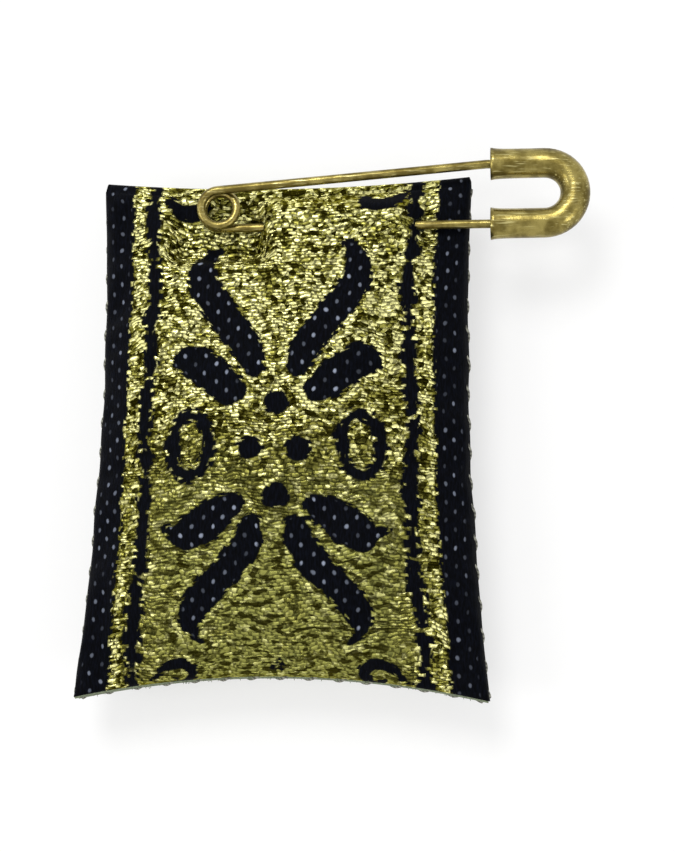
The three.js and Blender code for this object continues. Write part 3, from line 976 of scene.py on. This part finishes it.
def whip_stitches(line, outward, seed):
    """The thread of a whip seam: it winds round the two edges that lie along the line."""
    rng = np.random.default_rng(seed)
    lengths = np.concatenate([[0], np.cumsum(np.linalg.norm(np.diff(line, axis=0), axis=1))])
    turns = round(lengths[-1] / STITCH_PITCH)
    steps = turns * THREAD_STEPS
    at = np.linspace(0, lengths[-1], steps + 1)
    middle = np.stack([np.interp(at, lengths, line[:, k]) for k in range(3)], axis=1)
    stitch_starts = np.arange(0, steps + 1, THREAD_STEPS)
    uneven = np.interp(np.arange(steps + 1), stitch_starts, rng.normal(0, STITCH_UNEVEN, turns + 1))
    angle = 2 * math.pi * turns * at / lengths[-1] + uneven
    out = np.array([outward[0], outward[1], 0.0])
    lifted = np.sin(angle)[:, None] * np.array([0, 0, STITCH_HALF_HEIGHT])
    pushed = np.maximum(np.cos(angle), STITCH_INNER_SHARE)[:, None] * out * STITCH_HALF_DEPTH
    return middle + lifted + pushed


def seam(name, node, outward, ends, seed, material):
    """A whip seam in the groove between the two edges."""
    s, t = np.linspace(*ends, SEAM_POINTS).T
    x, y = place_of(s, t)
    x = x + edge_waver(s, t, y) - outward[0] * SEAM_INSET
    y = y - outward[1] * SEAM_INSET
    line = points_at(x, y, MID_HEIGHT)
    piece = make_object(name, *sweep(whip_stitches(line, outward, seed), STITCH_RADIUS, THREAD_SIDES))
    put_on(piece, material, "seam_thread", "pouch", node)


def frayed_ends(material):
    """Loose yarn ends that stand out of the two cut edges."""
    rng = np.random.default_rng(FRAY_SEED)
    share = np.linspace(0, 1, FRAY_STEPS)
    radii = FRAY_RADIUS * (1 - share / 2)
    points = []
    faces = []
    for _ in range(FRAY_COUNT):
        s = rng.uniform(*FRAY_SPAN_SHARES)
        side = rng.choice([-1, 1])
        x, y = place_of(s, -1)
        height = side * rng.uniform(*FRAY_HEIGHTS)
        length = rng.uniform(*FRAY_LENGTHS)
        lean = rng.normal(0, FRAY_LEAN)
        drop = side * rng.uniform(*FRAY_DROPS)
        line_x = x + lean * length * share ** FRAY_CURL_POWERS[0]
        line_y = y + FRAY_ROOT - (FRAY_ROOT + length) * share
        line_z = MID_HEIGHT + height + drop * length * share ** FRAY_CURL_POWERS[1]
        line = points_at(line_x, line_y, line_z)
        end_points, end_faces = sweep(line, radii, FRAY_SIDES)
        base = len(points) * len(end_points)
        points.append(end_points)
        faces += [tuple(base + i for i in f) for f in end_faces]
    piece = make_object("frayed_ends", np.vstack(points), faces)
    put_on(piece, material, "brocade", "pouch")


# The safety pin.


def needle(material):
    tip_x = NEEDLE_END_X - TIP_LENGTH
    shank = np.linspace(COIL_X, tip_x, WIRE_STEPS)
    x = np.concatenate([shank, np.linspace(tip_x, NEEDLE_END_X, TIP_STEPS)[1:]])
    line = points_at(x, PIN_Y, PIN_Z)
    taper = np.clip((NEEDLE_END_X - x) / TIP_LENGTH, 0, 1)
    radii = WIRE_RADIUS * np.maximum(taper, TIP_END_SHARE) ** TIP_POWER
    piece = make_object("pin_needle", *sweep(line, radii, WIRE_SIDES))
    put_on(piece, material, "pin_brass", "needle", "needle_arm")


def coil_and_spine_line():
    """The wire from the needle's end round the coil and along into the cap."""
    share = np.linspace(0, 1, COIL_STEPS)
    angle = -math.pi / 2 - 2 * math.pi * COIL_TURNS * share
    coil_x = COIL_X + COIL_RADIUS * np.cos(angle)
    coil_y = PIN_Y + COIL_RADIUS * (1 + np.sin(angle))
    coil = points_at(coil_x, coil_y, PIN_Z + COIL_PITCH * share)
    run = np.linspace(0, 1, WIRE_STEPS)[1:]
    spine = np.outer(1 - run, SPINE_START) + np.outer(run, SPINE_MOUTH)
    grip_x = np.linspace(SPINE_MOUTH[0], CAP_MOUTH_X + SPINE_GRIP, SPINE_GRIP_STEPS)[1:]
    return np.vstack([coil, spine, points_at(grip_x, *SPINE_MOUTH[1:])])


def coil_and_spine(material):
    piece = make_object("pin_wire", *sweep(coil_and_spine_line(), WIRE_RADIUS, WIRE_SIDES))
    piece.data.materials.append(material)
    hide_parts("coil_spring", "spine_arm")
    start = [c * MM for c in SPINE_START]
    end = [(SPINE_START[0] + BEND_RUN) * MM, start[1], start[2]]
    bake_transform(piece)


def cap_path():
    """The cap's middle line in plan: along the needle, round the bend and back along the spine."""
    middle_y = (PIN_Y + SPINE_Y) / 2
    radius = ARM_SPACING / 2
    arm_x = np.linspace(CAP_MOUTH_X, CAP_BEND_X, CAP_ARM_STEPS)
    turn = np.linspace(-math.pi / 2, math.pi / 2, CAP_BEND_STEPS)[1:-1]
    lower = [(x, PIN_Y) for x in arm_x]
    bend = [(CAP_BEND_X + radius * math.cos(a), middle_y + radius * math.sin(a)) for a in turn]
    upper = [(x, SPINE_Y) for x in arm_x[::-1]]
    return np.array(lower + bend + upper)


def cap_section(place, way, share, rows):
    """The points round one section of the rolled sheet: along its outside and back along its inside."""
    span = math.pi - CAP_OPENING / 2
    arc = np.linspace(-span, span, CAP_ARC_STEPS)
    from_mouth = min(share, 1 - share) * rows
    flared = CAP_TUBE + CAP_LIP * math.exp(-from_mouth / CAP_LIP_ROWS)
    depth, middle, reach = CAP_PINCH_SHARES
    pinched = 1 - depth * math.exp(-(((share - middle) / reach) ** 2))
    sheet = []
    for radius in (flared, flared - CAP_SHEET):
        curled = radius * (1 - CAP_CURL_SHARE * (np.abs(arc) / span) ** CAP_CURL_POWER)
        sideways = curled * np.sin(arc)
        height = PIN_Z + curled * np.cos(arc) * pinched
        sheet.append(points_at(place[0] - way[1] * sideways, place[1] + way[0] * sideways, height))
    return np.vstack([sheet[0], sheet[1][::-1]])


def clasp_cap(material):
    """The cap: sheet brass rolled round both wires in a bend, open underneath."""
    path = cap_path()
    shares = np.linspace(0, 1, len(path))
    sections = zip(path, directions(path), shares)
    points = np.vstack([cap_section(*section, len(path)) for section in sections])
    sides = 2 * CAP_ARC_STEPS
    faces = tube_faces(len(path), sides, is_turned=True)
    for first, is_turned in ((0, False), ((len(path) - 1) * sides, True)):
        for j in range(CAP_ARC_STEPS - 1):
            quad = (first + j, first + j + 1, first + sides - 2 - j, first + sides - 1 - j)
            faces.append(quad[::-1] if is_turned else quad)
    piece = make_object("pin_cap", points, faces)
    put_on(piece, material, "pin_brass", "clasp", "clasp_cap")


# What the pouch holds.


def cotton_layer(node, seed, name, material):
    """A layer of teased cotton, in the place of its plain solid."""
    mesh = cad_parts[node].data.copy()
    mesh.materials.clear()
    work = bmesh.new()
    work.from_mesh(mesh)
    bmesh.ops.remove_doubles(work, verts=work.verts, dist=WELD_DISTANCE * MM)
    bmesh.ops.subdivide_edges(work, edges=work.edges, cuts=COTTON_CUTS, use_grid_fill=True)
    every_way = {"use_axis_x": True, "use_axis_y": True, "use_axis_z": True}
    bmesh.ops.smooth_vert(work, verts=work.verts, factor=COTTON_SMOOTHING_SHARE, **every_way)
    work.normal_update()
    shift = Vector((seed, seed, seed))
    for vertex in work.verts:
        place = vertex.co / (TUFT_SIZE * MM) + shift
        tuft = noise.fractal(place, *TUFT_FRACTAL) - TUFT_LEVEL
        vertex.co += vertex.normal * min(tuft, 0) * TUFT_DEPTH * MM
    work.to_mesh(mesh)
    work.free()
    mesh.shade_smooth()
    piece = add_object(name, mesh)
    put_on(piece, material, "wadding", "pouch", node)


# Materials.


def operation(name):
    """A way to combine values, which adds one step to their graph."""
    return lambda value, *others: value.graph.math(name, value, *others)


class Value:
    """What a material works out at each place, open to plain arithmetic."""

    __add__ = operation("ADD")
    __sub__ = operation("SUBTRACT")
    __mul__ = operation("MULTIPLY")
    __truediv__ = operation("DIVIDE")
    __pow__ = operation("POWER")
    __mod__ = operation("FLOORED_MODULO")
    __abs__ = operation("ABSOLUTE")
    floor = operation("FLOOR")
    fraction = operation("FRACT")
    sine = operation("SINE")
    root = operation("SQRT")

    def __init__(self, graph, socket):
        self.graph = graph
        self.socket = socket

    def __rsub__(self, other):
        return self.graph.math("SUBTRACT", other, self)

    def from_middle(self):
        """Where it lies in its own whole step, from -0.5 to 0.5."""
        return self.fraction() - 0.5


class Graph:
    """A node tree, and short ways to add steps to it."""

    def __init__(self, tree):
        self.tree = tree

    def add(self, kind, **settings):
        node = self.tree.nodes.new("ShaderNode" + kind)
        for key, value in settings.items():
            setattr(node, key, value)
        return node

    def put(self, socket, value):
        """Gives a socket another step's result, a number, a vector, or a colour as the eye sees it."""
        if isinstance(value, Value):
            value = value.socket
        if isinstance(value, bpy.types.NodeSocket):
            self.tree.links.new(value, socket)
        else:
            socket.default_value = linear(value) if socket.type == "RGBA" else value

    def step(self, node, values, output=0, places=range(4)):
        """Feeds the inputs at some places or of some names, and gives one result."""
        for place, value in zip(places, values):
            self.put(node.inputs[place], value)
        return Value(self, node.outputs[output])

    def math(self, operation, *values):
        return self.step(self.add("Math", operation=operation), values)

    def vector(self, operation, *values):
        output = "Value" if operation == "DOT_PRODUCT" else "Vector"
        return self.step(self.add("VectorMath", operation=operation), values, output)

    def ramp(self, value, low, high):
        """Goes smoothly from 0 at low to 1 at high."""
        return self.step(self.add("MapRange", interpolation_type="SMOOTHSTEP"), (value, low, high))

    def mix(self, share, a, b):
        """A colour between two others."""
        return self.step(self.add("Mix", data_type="RGBA"), (share, a, b), 2, (0, 6, 7))

    def blend(self, share, a, b):
        """A number between two others."""
        return self.step(self.add("Mix", data_type="FLOAT"), (share, a, b), 0, (0, 2, 3))

    def parts(self, vector):
        node = self.add("SeparateXYZ")
        self.put(node.inputs[0], vector)
        return [Value(self, output) for output in node.outputs]

    def join(self, x, y, z):
        return self.step(self.add("CombineXYZ"), (x, y, z))

    def vectors(self, name):
        return Value(self, self.add("Attribute", attribute_name=name).outputs["Vector"])

    def place(self):
        """Where the surface is, in millimetres."""
        return self.vector("MULTIPLY", self.add("TexCoord").outputs["Object"], (1 / MM,) * 3)

    def noise(self, vector, rate, detail, roughness):
        """Cloudy noise, drawn out where one of three rates is low."""
        if isinstance(rate, tuple):
            vector = self.vector("MULTIPLY", vector, rate)
            rate = 1.0
        values = (vector, rate, detail, roughness)
        return self.step(self.add("TexNoise"), values, "Fac", ("Vector", "Scale", "Detail", "Roughness"))

    def grain(self, name, vector):
        return self.noise(vector, *GRAINS[name])

    def chance(self, vector):
        """Three even random numbers for each whole place."""
        node = self.add("TexWhiteNoise", noise_dimensions="3D")
        return self.parts(self.step(node, (vector,), "Color"))

    def seen(self):
        """1 for what the camera and bright metal see, and 0 for what lights the scene."""
        rays = self.add("LightPath").outputs
        seen = self.math("MAXIMUM", rays["Is Camera Ray"], rays["Is Glossy Ray"])
        return self.math("MAXIMUM", seen, rays["Is Transmission Ray"])


class Finish(Graph):
    """A material with one shader."""

    def __init__(self, name):
        self.name = name
        self.material = bpy.data.materials.new(name)
        self.material.use_nodes = True
        super().__init__(self.material.node_tree)
        self.shader = self.tree.nodes["Principled BSDF"]

    def bump(self, height):
        values = (height, RELIEFS[self.name] * MM, 1.0)
        normal = self.step(self.add("Bump"), values, 0, ("Height", "Distance", "Strength"))
        self.put(self.shader.inputs["Normal"], normal)

    def done(self, colour, roughness, metallic=0.0):
        self.step(self.shader, (colour, roughness, metallic), 0, ("Base Color", "Roughness", "Metallic"))
        return self.material


def gold_threads(g, cloth):
    """Rows of flat gold thread: each one's random numbers, its rounded height, and where it is tied down."""
    across, along, pressed = g.parts(cloth)
    sway = g.grain("sway", cloth) - 0.5
    rows = (along + pressed * PRESSED_STRETCH + sway * SWAY_ALONG) / FLOAT_PITCH
    row = rows.floor()
    columns = (across + sway * SWAY_ACROSS) / FLOAT_LENGTH + row * FLOAT_STEP_SHARE
    luck = g.chance(g.join(columns.floor(), row, FLOAT_LUCK_LAYER))
    crown = 1 - (abs(rows.from_middle()) * 2) ** FLOAT_CROWN_POWER
    tied = g.ramp(abs(columns.from_middle()), *(0.5 - share for share in TIE_SHARES))
    return luck, crown, tied


def crinkle(g, cloth):
    """Small flat facets, as in crushed foil: their random numbers, and their slant as a height."""
    squeezed = g.vector("MULTIPLY", cloth, CRINKLE_SQUEEZE)
    cells = g.add("TexVoronoi", voronoi_dimensions="3D")
    luck = g.step(cells, (squeezed, 1 / CRINKLE_SIZE), "Color", ("Vector", "Scale"))
    from_middle = g.vector("SUBTRACT", squeezed, cells.outputs["Position"])
    lean = g.vector("SUBTRACT", luck, (0.5, 0.5, 0.5))
    return g.parts(luck), g.vector("DOT_PRODUCT", from_middle, lean)


def matte_and_shaded_share(g, cloth, across, along):
    """How matte the gold is, and how far its painted glints are evened out as painted shade: most so in the
    middle of the lower half.
    """
    patches = g.ramp(g.grain("matte and shaded patches", cloth), *MATTE_AND_SHADED_PATCHES)
    ends = g.ramp(along, *MATTE_AND_SHADED_FROM) * g.ramp(along, *MATTE_AND_SHADED_UNTIL)
    return ends * patches * g.ramp(abs(across), *MATTE_AND_SHADED_SIDES)


def gold_shine(g, cloth, along, matte_and_shaded, glints, halo):
    """How brightly each bit of flat thread glints, as painted highlights and painted dark reflections in its
    colour, brighter towards the top end where the light falls, and lifted a little round the leaves.
    """
    grain = g.grain("gold", cloth)
    parts = [part * share for part, share in zip((*glints, grain), GLINT_SHARES)]
    lit_end = g.ramp(along, *LIT_END)
    spread = g.blend(matte_and_shaded, g.blend(lit_end, *GLINT_SPREADS), MATTE_AND_SHADED_SPREAD)
    level = g.blend(lit_end, *GLINT_LEVELS)
    return (parts[0] + parts[1] + parts[2] - level) * spread + 0.5 + halo * HALO_LIFT


def gold_colour(g, cloth, matte_and_shaded, shine, crown, tied):
    """Painted highlights for the bright glints, painted dark reflections between them, painted shade in the
    hollows between the rows, and the dark of the ties and of the weave's slanting dashes.
    """
    gold = g.mix(g.ramp(shine, *DARK_GLINTS), GOLD_DARK_AND_SHADE, GOLD_MIDDLE)
    gold = g.mix(g.ramp(shine, *BRIGHT_GLINTS), gold, GOLD_HIGHLIGHT)
    # In the matte lower half, where less light falls, the painted glints give way to an even gold.
    gold = g.mix(matte_and_shaded * MATTE_AND_SHADED_COLOUR_SHARE, gold, GOLD_MATTE_AND_SHADED)
    hollow_shade = g.math("MAXIMUM", (1 - g.ramp(crown, *SHADED_HOLLOWS)) * HOLLOW_SHADE_SHARE, tied)
    dashes = g.ramp(g.grain("dashes", cloth), *DASHES)
    hollow_shade = hollow_shade * g.blend(matte_and_shaded, *HOLLOW_SHADE_DARKNESS)
    dashes = dashes * g.blend(matte_and_shaded, *DASH_DARKNESS)
    return g.mix(g.math("MAXIMUM", hollow_shade, dashes), gold, GOLD_DARK_AND_SHADE)


def ribbed_gold(g, cloth, across):
    """The back's fine ribs, with painted shade in the grooves between them and stray painted glints of the
    wefts that cross them: height and colour.
    """
    drift = g.grain("rib drift", cloth) * RIB_DRIFT
    rib = abs(((across + drift) * (math.pi / RIB_PITCH)).sine())
    picks = g.grain("crossing wefts", cloth)
    colour = g.mix(g.ramp(rib + picks * PICK_SHARE, *RIB_SHADE_TONES), GOLD_DARK_AND_SHADE, GOLD_RIB)
    return rib, g.mix(g.ramp(picks, *PICK_GLINTS) * PICK_GLINT_SHARE, colour, GOLD_HIGHLIGHT)


def pale_points(g, across, along):
    """The staggered lattice of tiny pale points that the gold leaves in the navy."""
    drift = g.grain("lattice drift", g.join(across, along, 0.0)) - 0.5
    columns = (across + drift * LATTICE_JITTER) / LATTICE_COLUMN
    column = columns.floor()
    rows = along / LATTICE_PITCH + column % 2 * 0.5
    dx = columns.from_middle() * LATTICE_COLUMN
    dy = rows.from_middle() * (LATTICE_PITCH * DOT_STRETCH_SHARE)
    away = (dx * dx + dy * dy).root()
    luck = g.chance(g.join(column, rows.floor(), LATTICE_LUCK_LAYER))[0]
    inner, outer = (LATTICE_DOT * share for share in LATTICE_DOT_SHARES)
    strength = luck**POINT_LUCK_POWER * (1 - POINT_LEAST_SHARE) + POINT_LEAST_SHARE
    return (1 - g.ramp(away, inner, outer)) * strength


def navy_yarn(g, cloth, across, along, dotted_far):
    """The navy yarn with its pale points: height and colour, with painted light on the raised yarn."""
    yarn = g.grain("navy yarn", cloth)
    navy = g.mix(g.ramp(yarn, *YARN_TONES), NAVY, NAVY_RAISED_LIT)
    band_start = BAND_PLACE_SHARE * HALF_RIBBON
    in_band = g.ramp(abs(across), band_start - BAND_POINT_FADE, band_start)
    dotted = g.ramp(dotted_far, *POINTS_FROM_EDGE) * g.ramp(dotted_far, *POINTS_FROM_SELVEDGE)
    point = pale_points(g, across, along) * (dotted * g.blend(in_band, 1, BAND_POINT_SHARE))
    height = yarn * YARN_RELIEF_SHARE + point * POINT_RELIEF_SHARE
    return height, g.mix(point, navy, NAVY_POINT)


def echo_line(g, across, dotted_far, luck):
    """A faint broken line that follows the leaves at a little distance."""
    line = g.ramp(abs(dotted_far - ECHO_PLACE), *ECHO_WIDTHS) * g.ramp(abs(across), *ECHO_REACH)
    return line * (g.ramp(luck, *ECHO_BREAKS) * ECHO_SHARE)


def brocade_material():
    """Gold lurex ground with navy figures, pale points in the navy, and ribbed fields on the back."""
    g = Finish("brocade")
    cloth = g.vectors("cloth")
    across, along, _ = g.parts(cloth)
    navy_far, dotted_far, loop_far = g.parts(g.vectors("figure"))
    ribbed_far = g.parts(g.vectors("cross"))[0]
    luck, crown, tied = gold_threads(g, cloth)
    facet, slant = crinkle(g, cloth)
    is_navy = 1 - g.ramp(navy_far + (luck[2] - 0.5) * RAGGED_EDGE, *NAVY_EDGE)
    is_loop = (1 - g.ramp(loop_far, *LOOP_EDGE)) * LOOP_STRENGTH
    is_ribbed = g.ramp(ribbed_far, *RIBBED_EDGE)

    matte_and_shaded = matte_and_shaded_share(g, cloth, across, along)
    halo = g.ramp(dotted_far, *HALO_START) * g.ramp(dotted_far, *HALO_END)
    shine = gold_shine(g, cloth, along, matte_and_shaded, (facet[2], luck[2]), halo)
    gold = gold_colour(g, cloth, matte_and_shaded, shine, crown, tied)
    rib_height, rib_colour = ribbed_gold(g, cloth, across)
    gold = g.mix(is_ribbed, gold, rib_colour)
    faint = g.math("MAXIMUM", is_loop, echo_line(g, across, dotted_far, luck[1]))
    gold = g.mix(faint, gold, GOLD_DARK_AND_SHADE)
    navy_height, navy = navy_yarn(g, cloth, across, along, dotted_far)

    gold_height = (crown - tied) * THREAD_CROWN + slant * g.blend(matte_and_shaded, *FACET_SLANTS)
    gold_height = g.blend(is_ribbed, gold_height, rib_height)
    g.bump(g.blend(is_navy, gold_height + NAVY_DROP, navy_height - NAVY_DROP))
    rough_gold = g.blend(matte_and_shaded, g.blend(facet[0], *GOLD_ROUGHNESS), MATTE_ROUGHNESS)
    metallic = g.math("MAXIMUM", g.blend(is_ribbed, *GOLD_METALLIC) - is_navy, 0.0)
    g.put(g.shader.inputs["Specular IOR Level"], BROCADE_SPECULAR)
    g.put(g.shader.inputs["Specular Tint"], GOLD_EDGE)
    roughness = g.blend(is_navy, rough_gold, NAVY_ROUGHNESS)
    return g.done(g.mix(is_navy, gold, navy), roughness, metallic)


def plain_material(name):
    """A finish whose relief, colour and roughness follow its grains."""
    g = Finish(name)
    place = g.place()
    grains, relief, (colour, *changes), (rough_grain, *roughness) = FINISHES[name]
    found = {grain: g.noise(place, *values) for grain, values in grains.items()}
    first, *others = [found[grain] * share for grain, share in relief.items()]
    g.bump(sum(others, first))
    for grain, start, end, new_colour in changes:
        colour = g.mix(g.ramp(found[grain], start, end), colour, new_colour)
    return g.done(colour, g.blend(found[rough_grain], *roughness))


def thread_material(name, pale, dark):
    """Two-ply thread: slanting plies with painted shade in the grooves between them, and fine fibres."""
    g = Finish(name)
    x, y, z = g.parts(g.place())
    fibres = g.grain("fibres", g.place())
    winding = ((x + y + z) * PLY_RATES[name]).sine()
    ply = g.ramp(winding + fibres * PLY_FUZZ_SHARE, *PLY_TONES)
    g.bump(ply + fibres * FIBRE_RELIEF_SHARE)
    return g.done(g.mix(ply, dark, pale), g.blend(ply, *THREAD_ROUGHNESS))


def brass_material():
    """Drawn brass wire and rolled sheet, dulled in patches and rubbed bright along the wire."""
    g = Finish("pin_brass")
    place = g.place()
    tarnish = g.grain("tarnish", place)
    specks = g.grain("specks", place)
    drawn = g.grain("drawn lines", place)
    colour = g.mix(g.ramp(tarnish, *TARNISH_TONES), BRASS_DARK, BRASS)
    colour = g.mix(g.ramp(drawn, *DRAWN_TONES), colour, BRASS_PALE)
    colour = g.mix(g.ramp(specks, *SPECK_TONES), colour, BRASS_DARK)
    g.bump(drawn + specks * SPECK_RELIEF_SHARE)
    roughness = g.blend(g.ramp(tarnish, *RUBBED_TONES), *BRASS_ROUGHNESS)
    return g.done(colour, roughness, g.blend(tarnish, *BRASS_METALLIC))


def dress_node(name, material):
    """Gives a solid that stays its own finish."""
    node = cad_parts[name]
    node.data.materials.clear()
    node.data.materials.append(material)


# The stage.


def floor_material():
    """Pale floor that keeps the shadow, and whose white the camera and bright metal see."""
    g = Finish("floor")
    colour = g.mix(g.grain("floor", g.place()), FLOOR_COLOUR, FLOOR_PALE)
    material = g.done(colour, FLOOR_ROUGHNESS)
    glow = g.step(g.add("Emission"), (FULL_WHITE, 1.0))
    x, y, _ = g.parts(g.place())
    away = g.ramp((x * x + y * y).root(), *FLOOR_WHITE)
    share = g.seen() * g.blend(away, FLOOR_NEAR_WHITE_SHARE, 1.0)
    mixed = g.step(g.add("MixShader"), (share, g.shader.outputs[0], glow))
    g.put(g.tree.nodes["Material Output"].inputs["Surface"], mixed)
    return material


def make_floor():
    signs = ((-1, -1), (1, -1), (1, 1), (-1, 1))
    corners = [(x * HALF_FLOOR, y * HALF_FLOOR, -FLOOR_DROP) for x, y in signs]
    floor = make_object("floor", corners, [(0, 1, 2, 3)])
    floor.data.materials.append(floor_material())


def make_sky():
    """Soft light from all round, which the camera and bright metal see as white."""
    world = bpy.data.worlds.new("sky")
    bpy.context.scene.world = world
    world.use_nodes = True
    g = Graph(world.node_tree)
    values = (g.seen(), SKY_LIGHT, 1.0)
    strength = g.step(g.add("MapRange"), values, 0, ("Value", "To Min", "To Max"))
    g.step(g.tree.nodes["Background"], (FULL_WHITE, strength))


def make_lamps():
    for name, place, size, power in LAMPS:
        light = bpy.data.lights.new(name, "AREA")
        light.shape = "DISK"
        light.size = size * MM
        light.energy = power
        lamp = add_object(name, light)
        lamp.location = Vector(place) * MM
        lamp.rotation_euler = (-lamp.location).to_track_quat("-Z", "Y").to_euler()


def make_camera():
    data = bpy.data.cameras.new("camera")
    data.lens = CAMERA_LENS
    data.clip_start = MM
    camera = add_object("camera", data)
    flat = math.cos(CAMERA_ELEVATION)
    away_x = math.sin(CAMERA_AZIMUTH) * flat
    away_y = -math.cos(CAMERA_AZIMUTH) * flat
    away = Vector((away_x, away_y, math.sin(CAMERA_ELEVATION)))
    camera.location = (Vector(CAMERA_AIM) + away * CAMERA_DISTANCE) * MM
    right = Vector((0, 1, 0)).cross(away).normalized()
    turned = Matrix((right, away.cross(right), away)).transposed()
    camera.rotation_euler = (turned @ Matrix.Rotation(CAMERA_ROLL, 3, "Z")).to_euler()
    bpy.context.scene.camera = camera


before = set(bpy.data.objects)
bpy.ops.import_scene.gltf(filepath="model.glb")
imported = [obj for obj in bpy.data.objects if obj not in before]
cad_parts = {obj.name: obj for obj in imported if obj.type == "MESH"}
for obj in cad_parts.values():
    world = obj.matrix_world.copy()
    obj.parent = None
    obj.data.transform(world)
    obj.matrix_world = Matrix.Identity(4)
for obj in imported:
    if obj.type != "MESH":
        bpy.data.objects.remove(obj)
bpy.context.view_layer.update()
bpy.context.scene.view_settings.view_transform = "Standard"
make_camera()
make_sky()
make_lamps()
make_floor()

brass = brass_material()
seam_thread = thread_material("seam_thread", SEAM_THREAD, SEAM_THREAD_SHADE)
fray_thread = thread_material("fray_thread", REVERSE_PALE, REVERSE)
cotton = plain_material("cotton")

brocade_pouch(brocade_material(), plain_material("brocade_reverse"))
for parts in SEAMS:
    seam(*parts, seam_thread)
frayed_ends(fray_thread)
for parts in COTTON_LAYERS:
    cotton_layer(*parts, cotton)
for node, finish in DRESSED_NODES.items():
    dress_node(node, plain_material(finish))
needle(brass)
coil_and_spine(brass)
clasp_cap(brass)
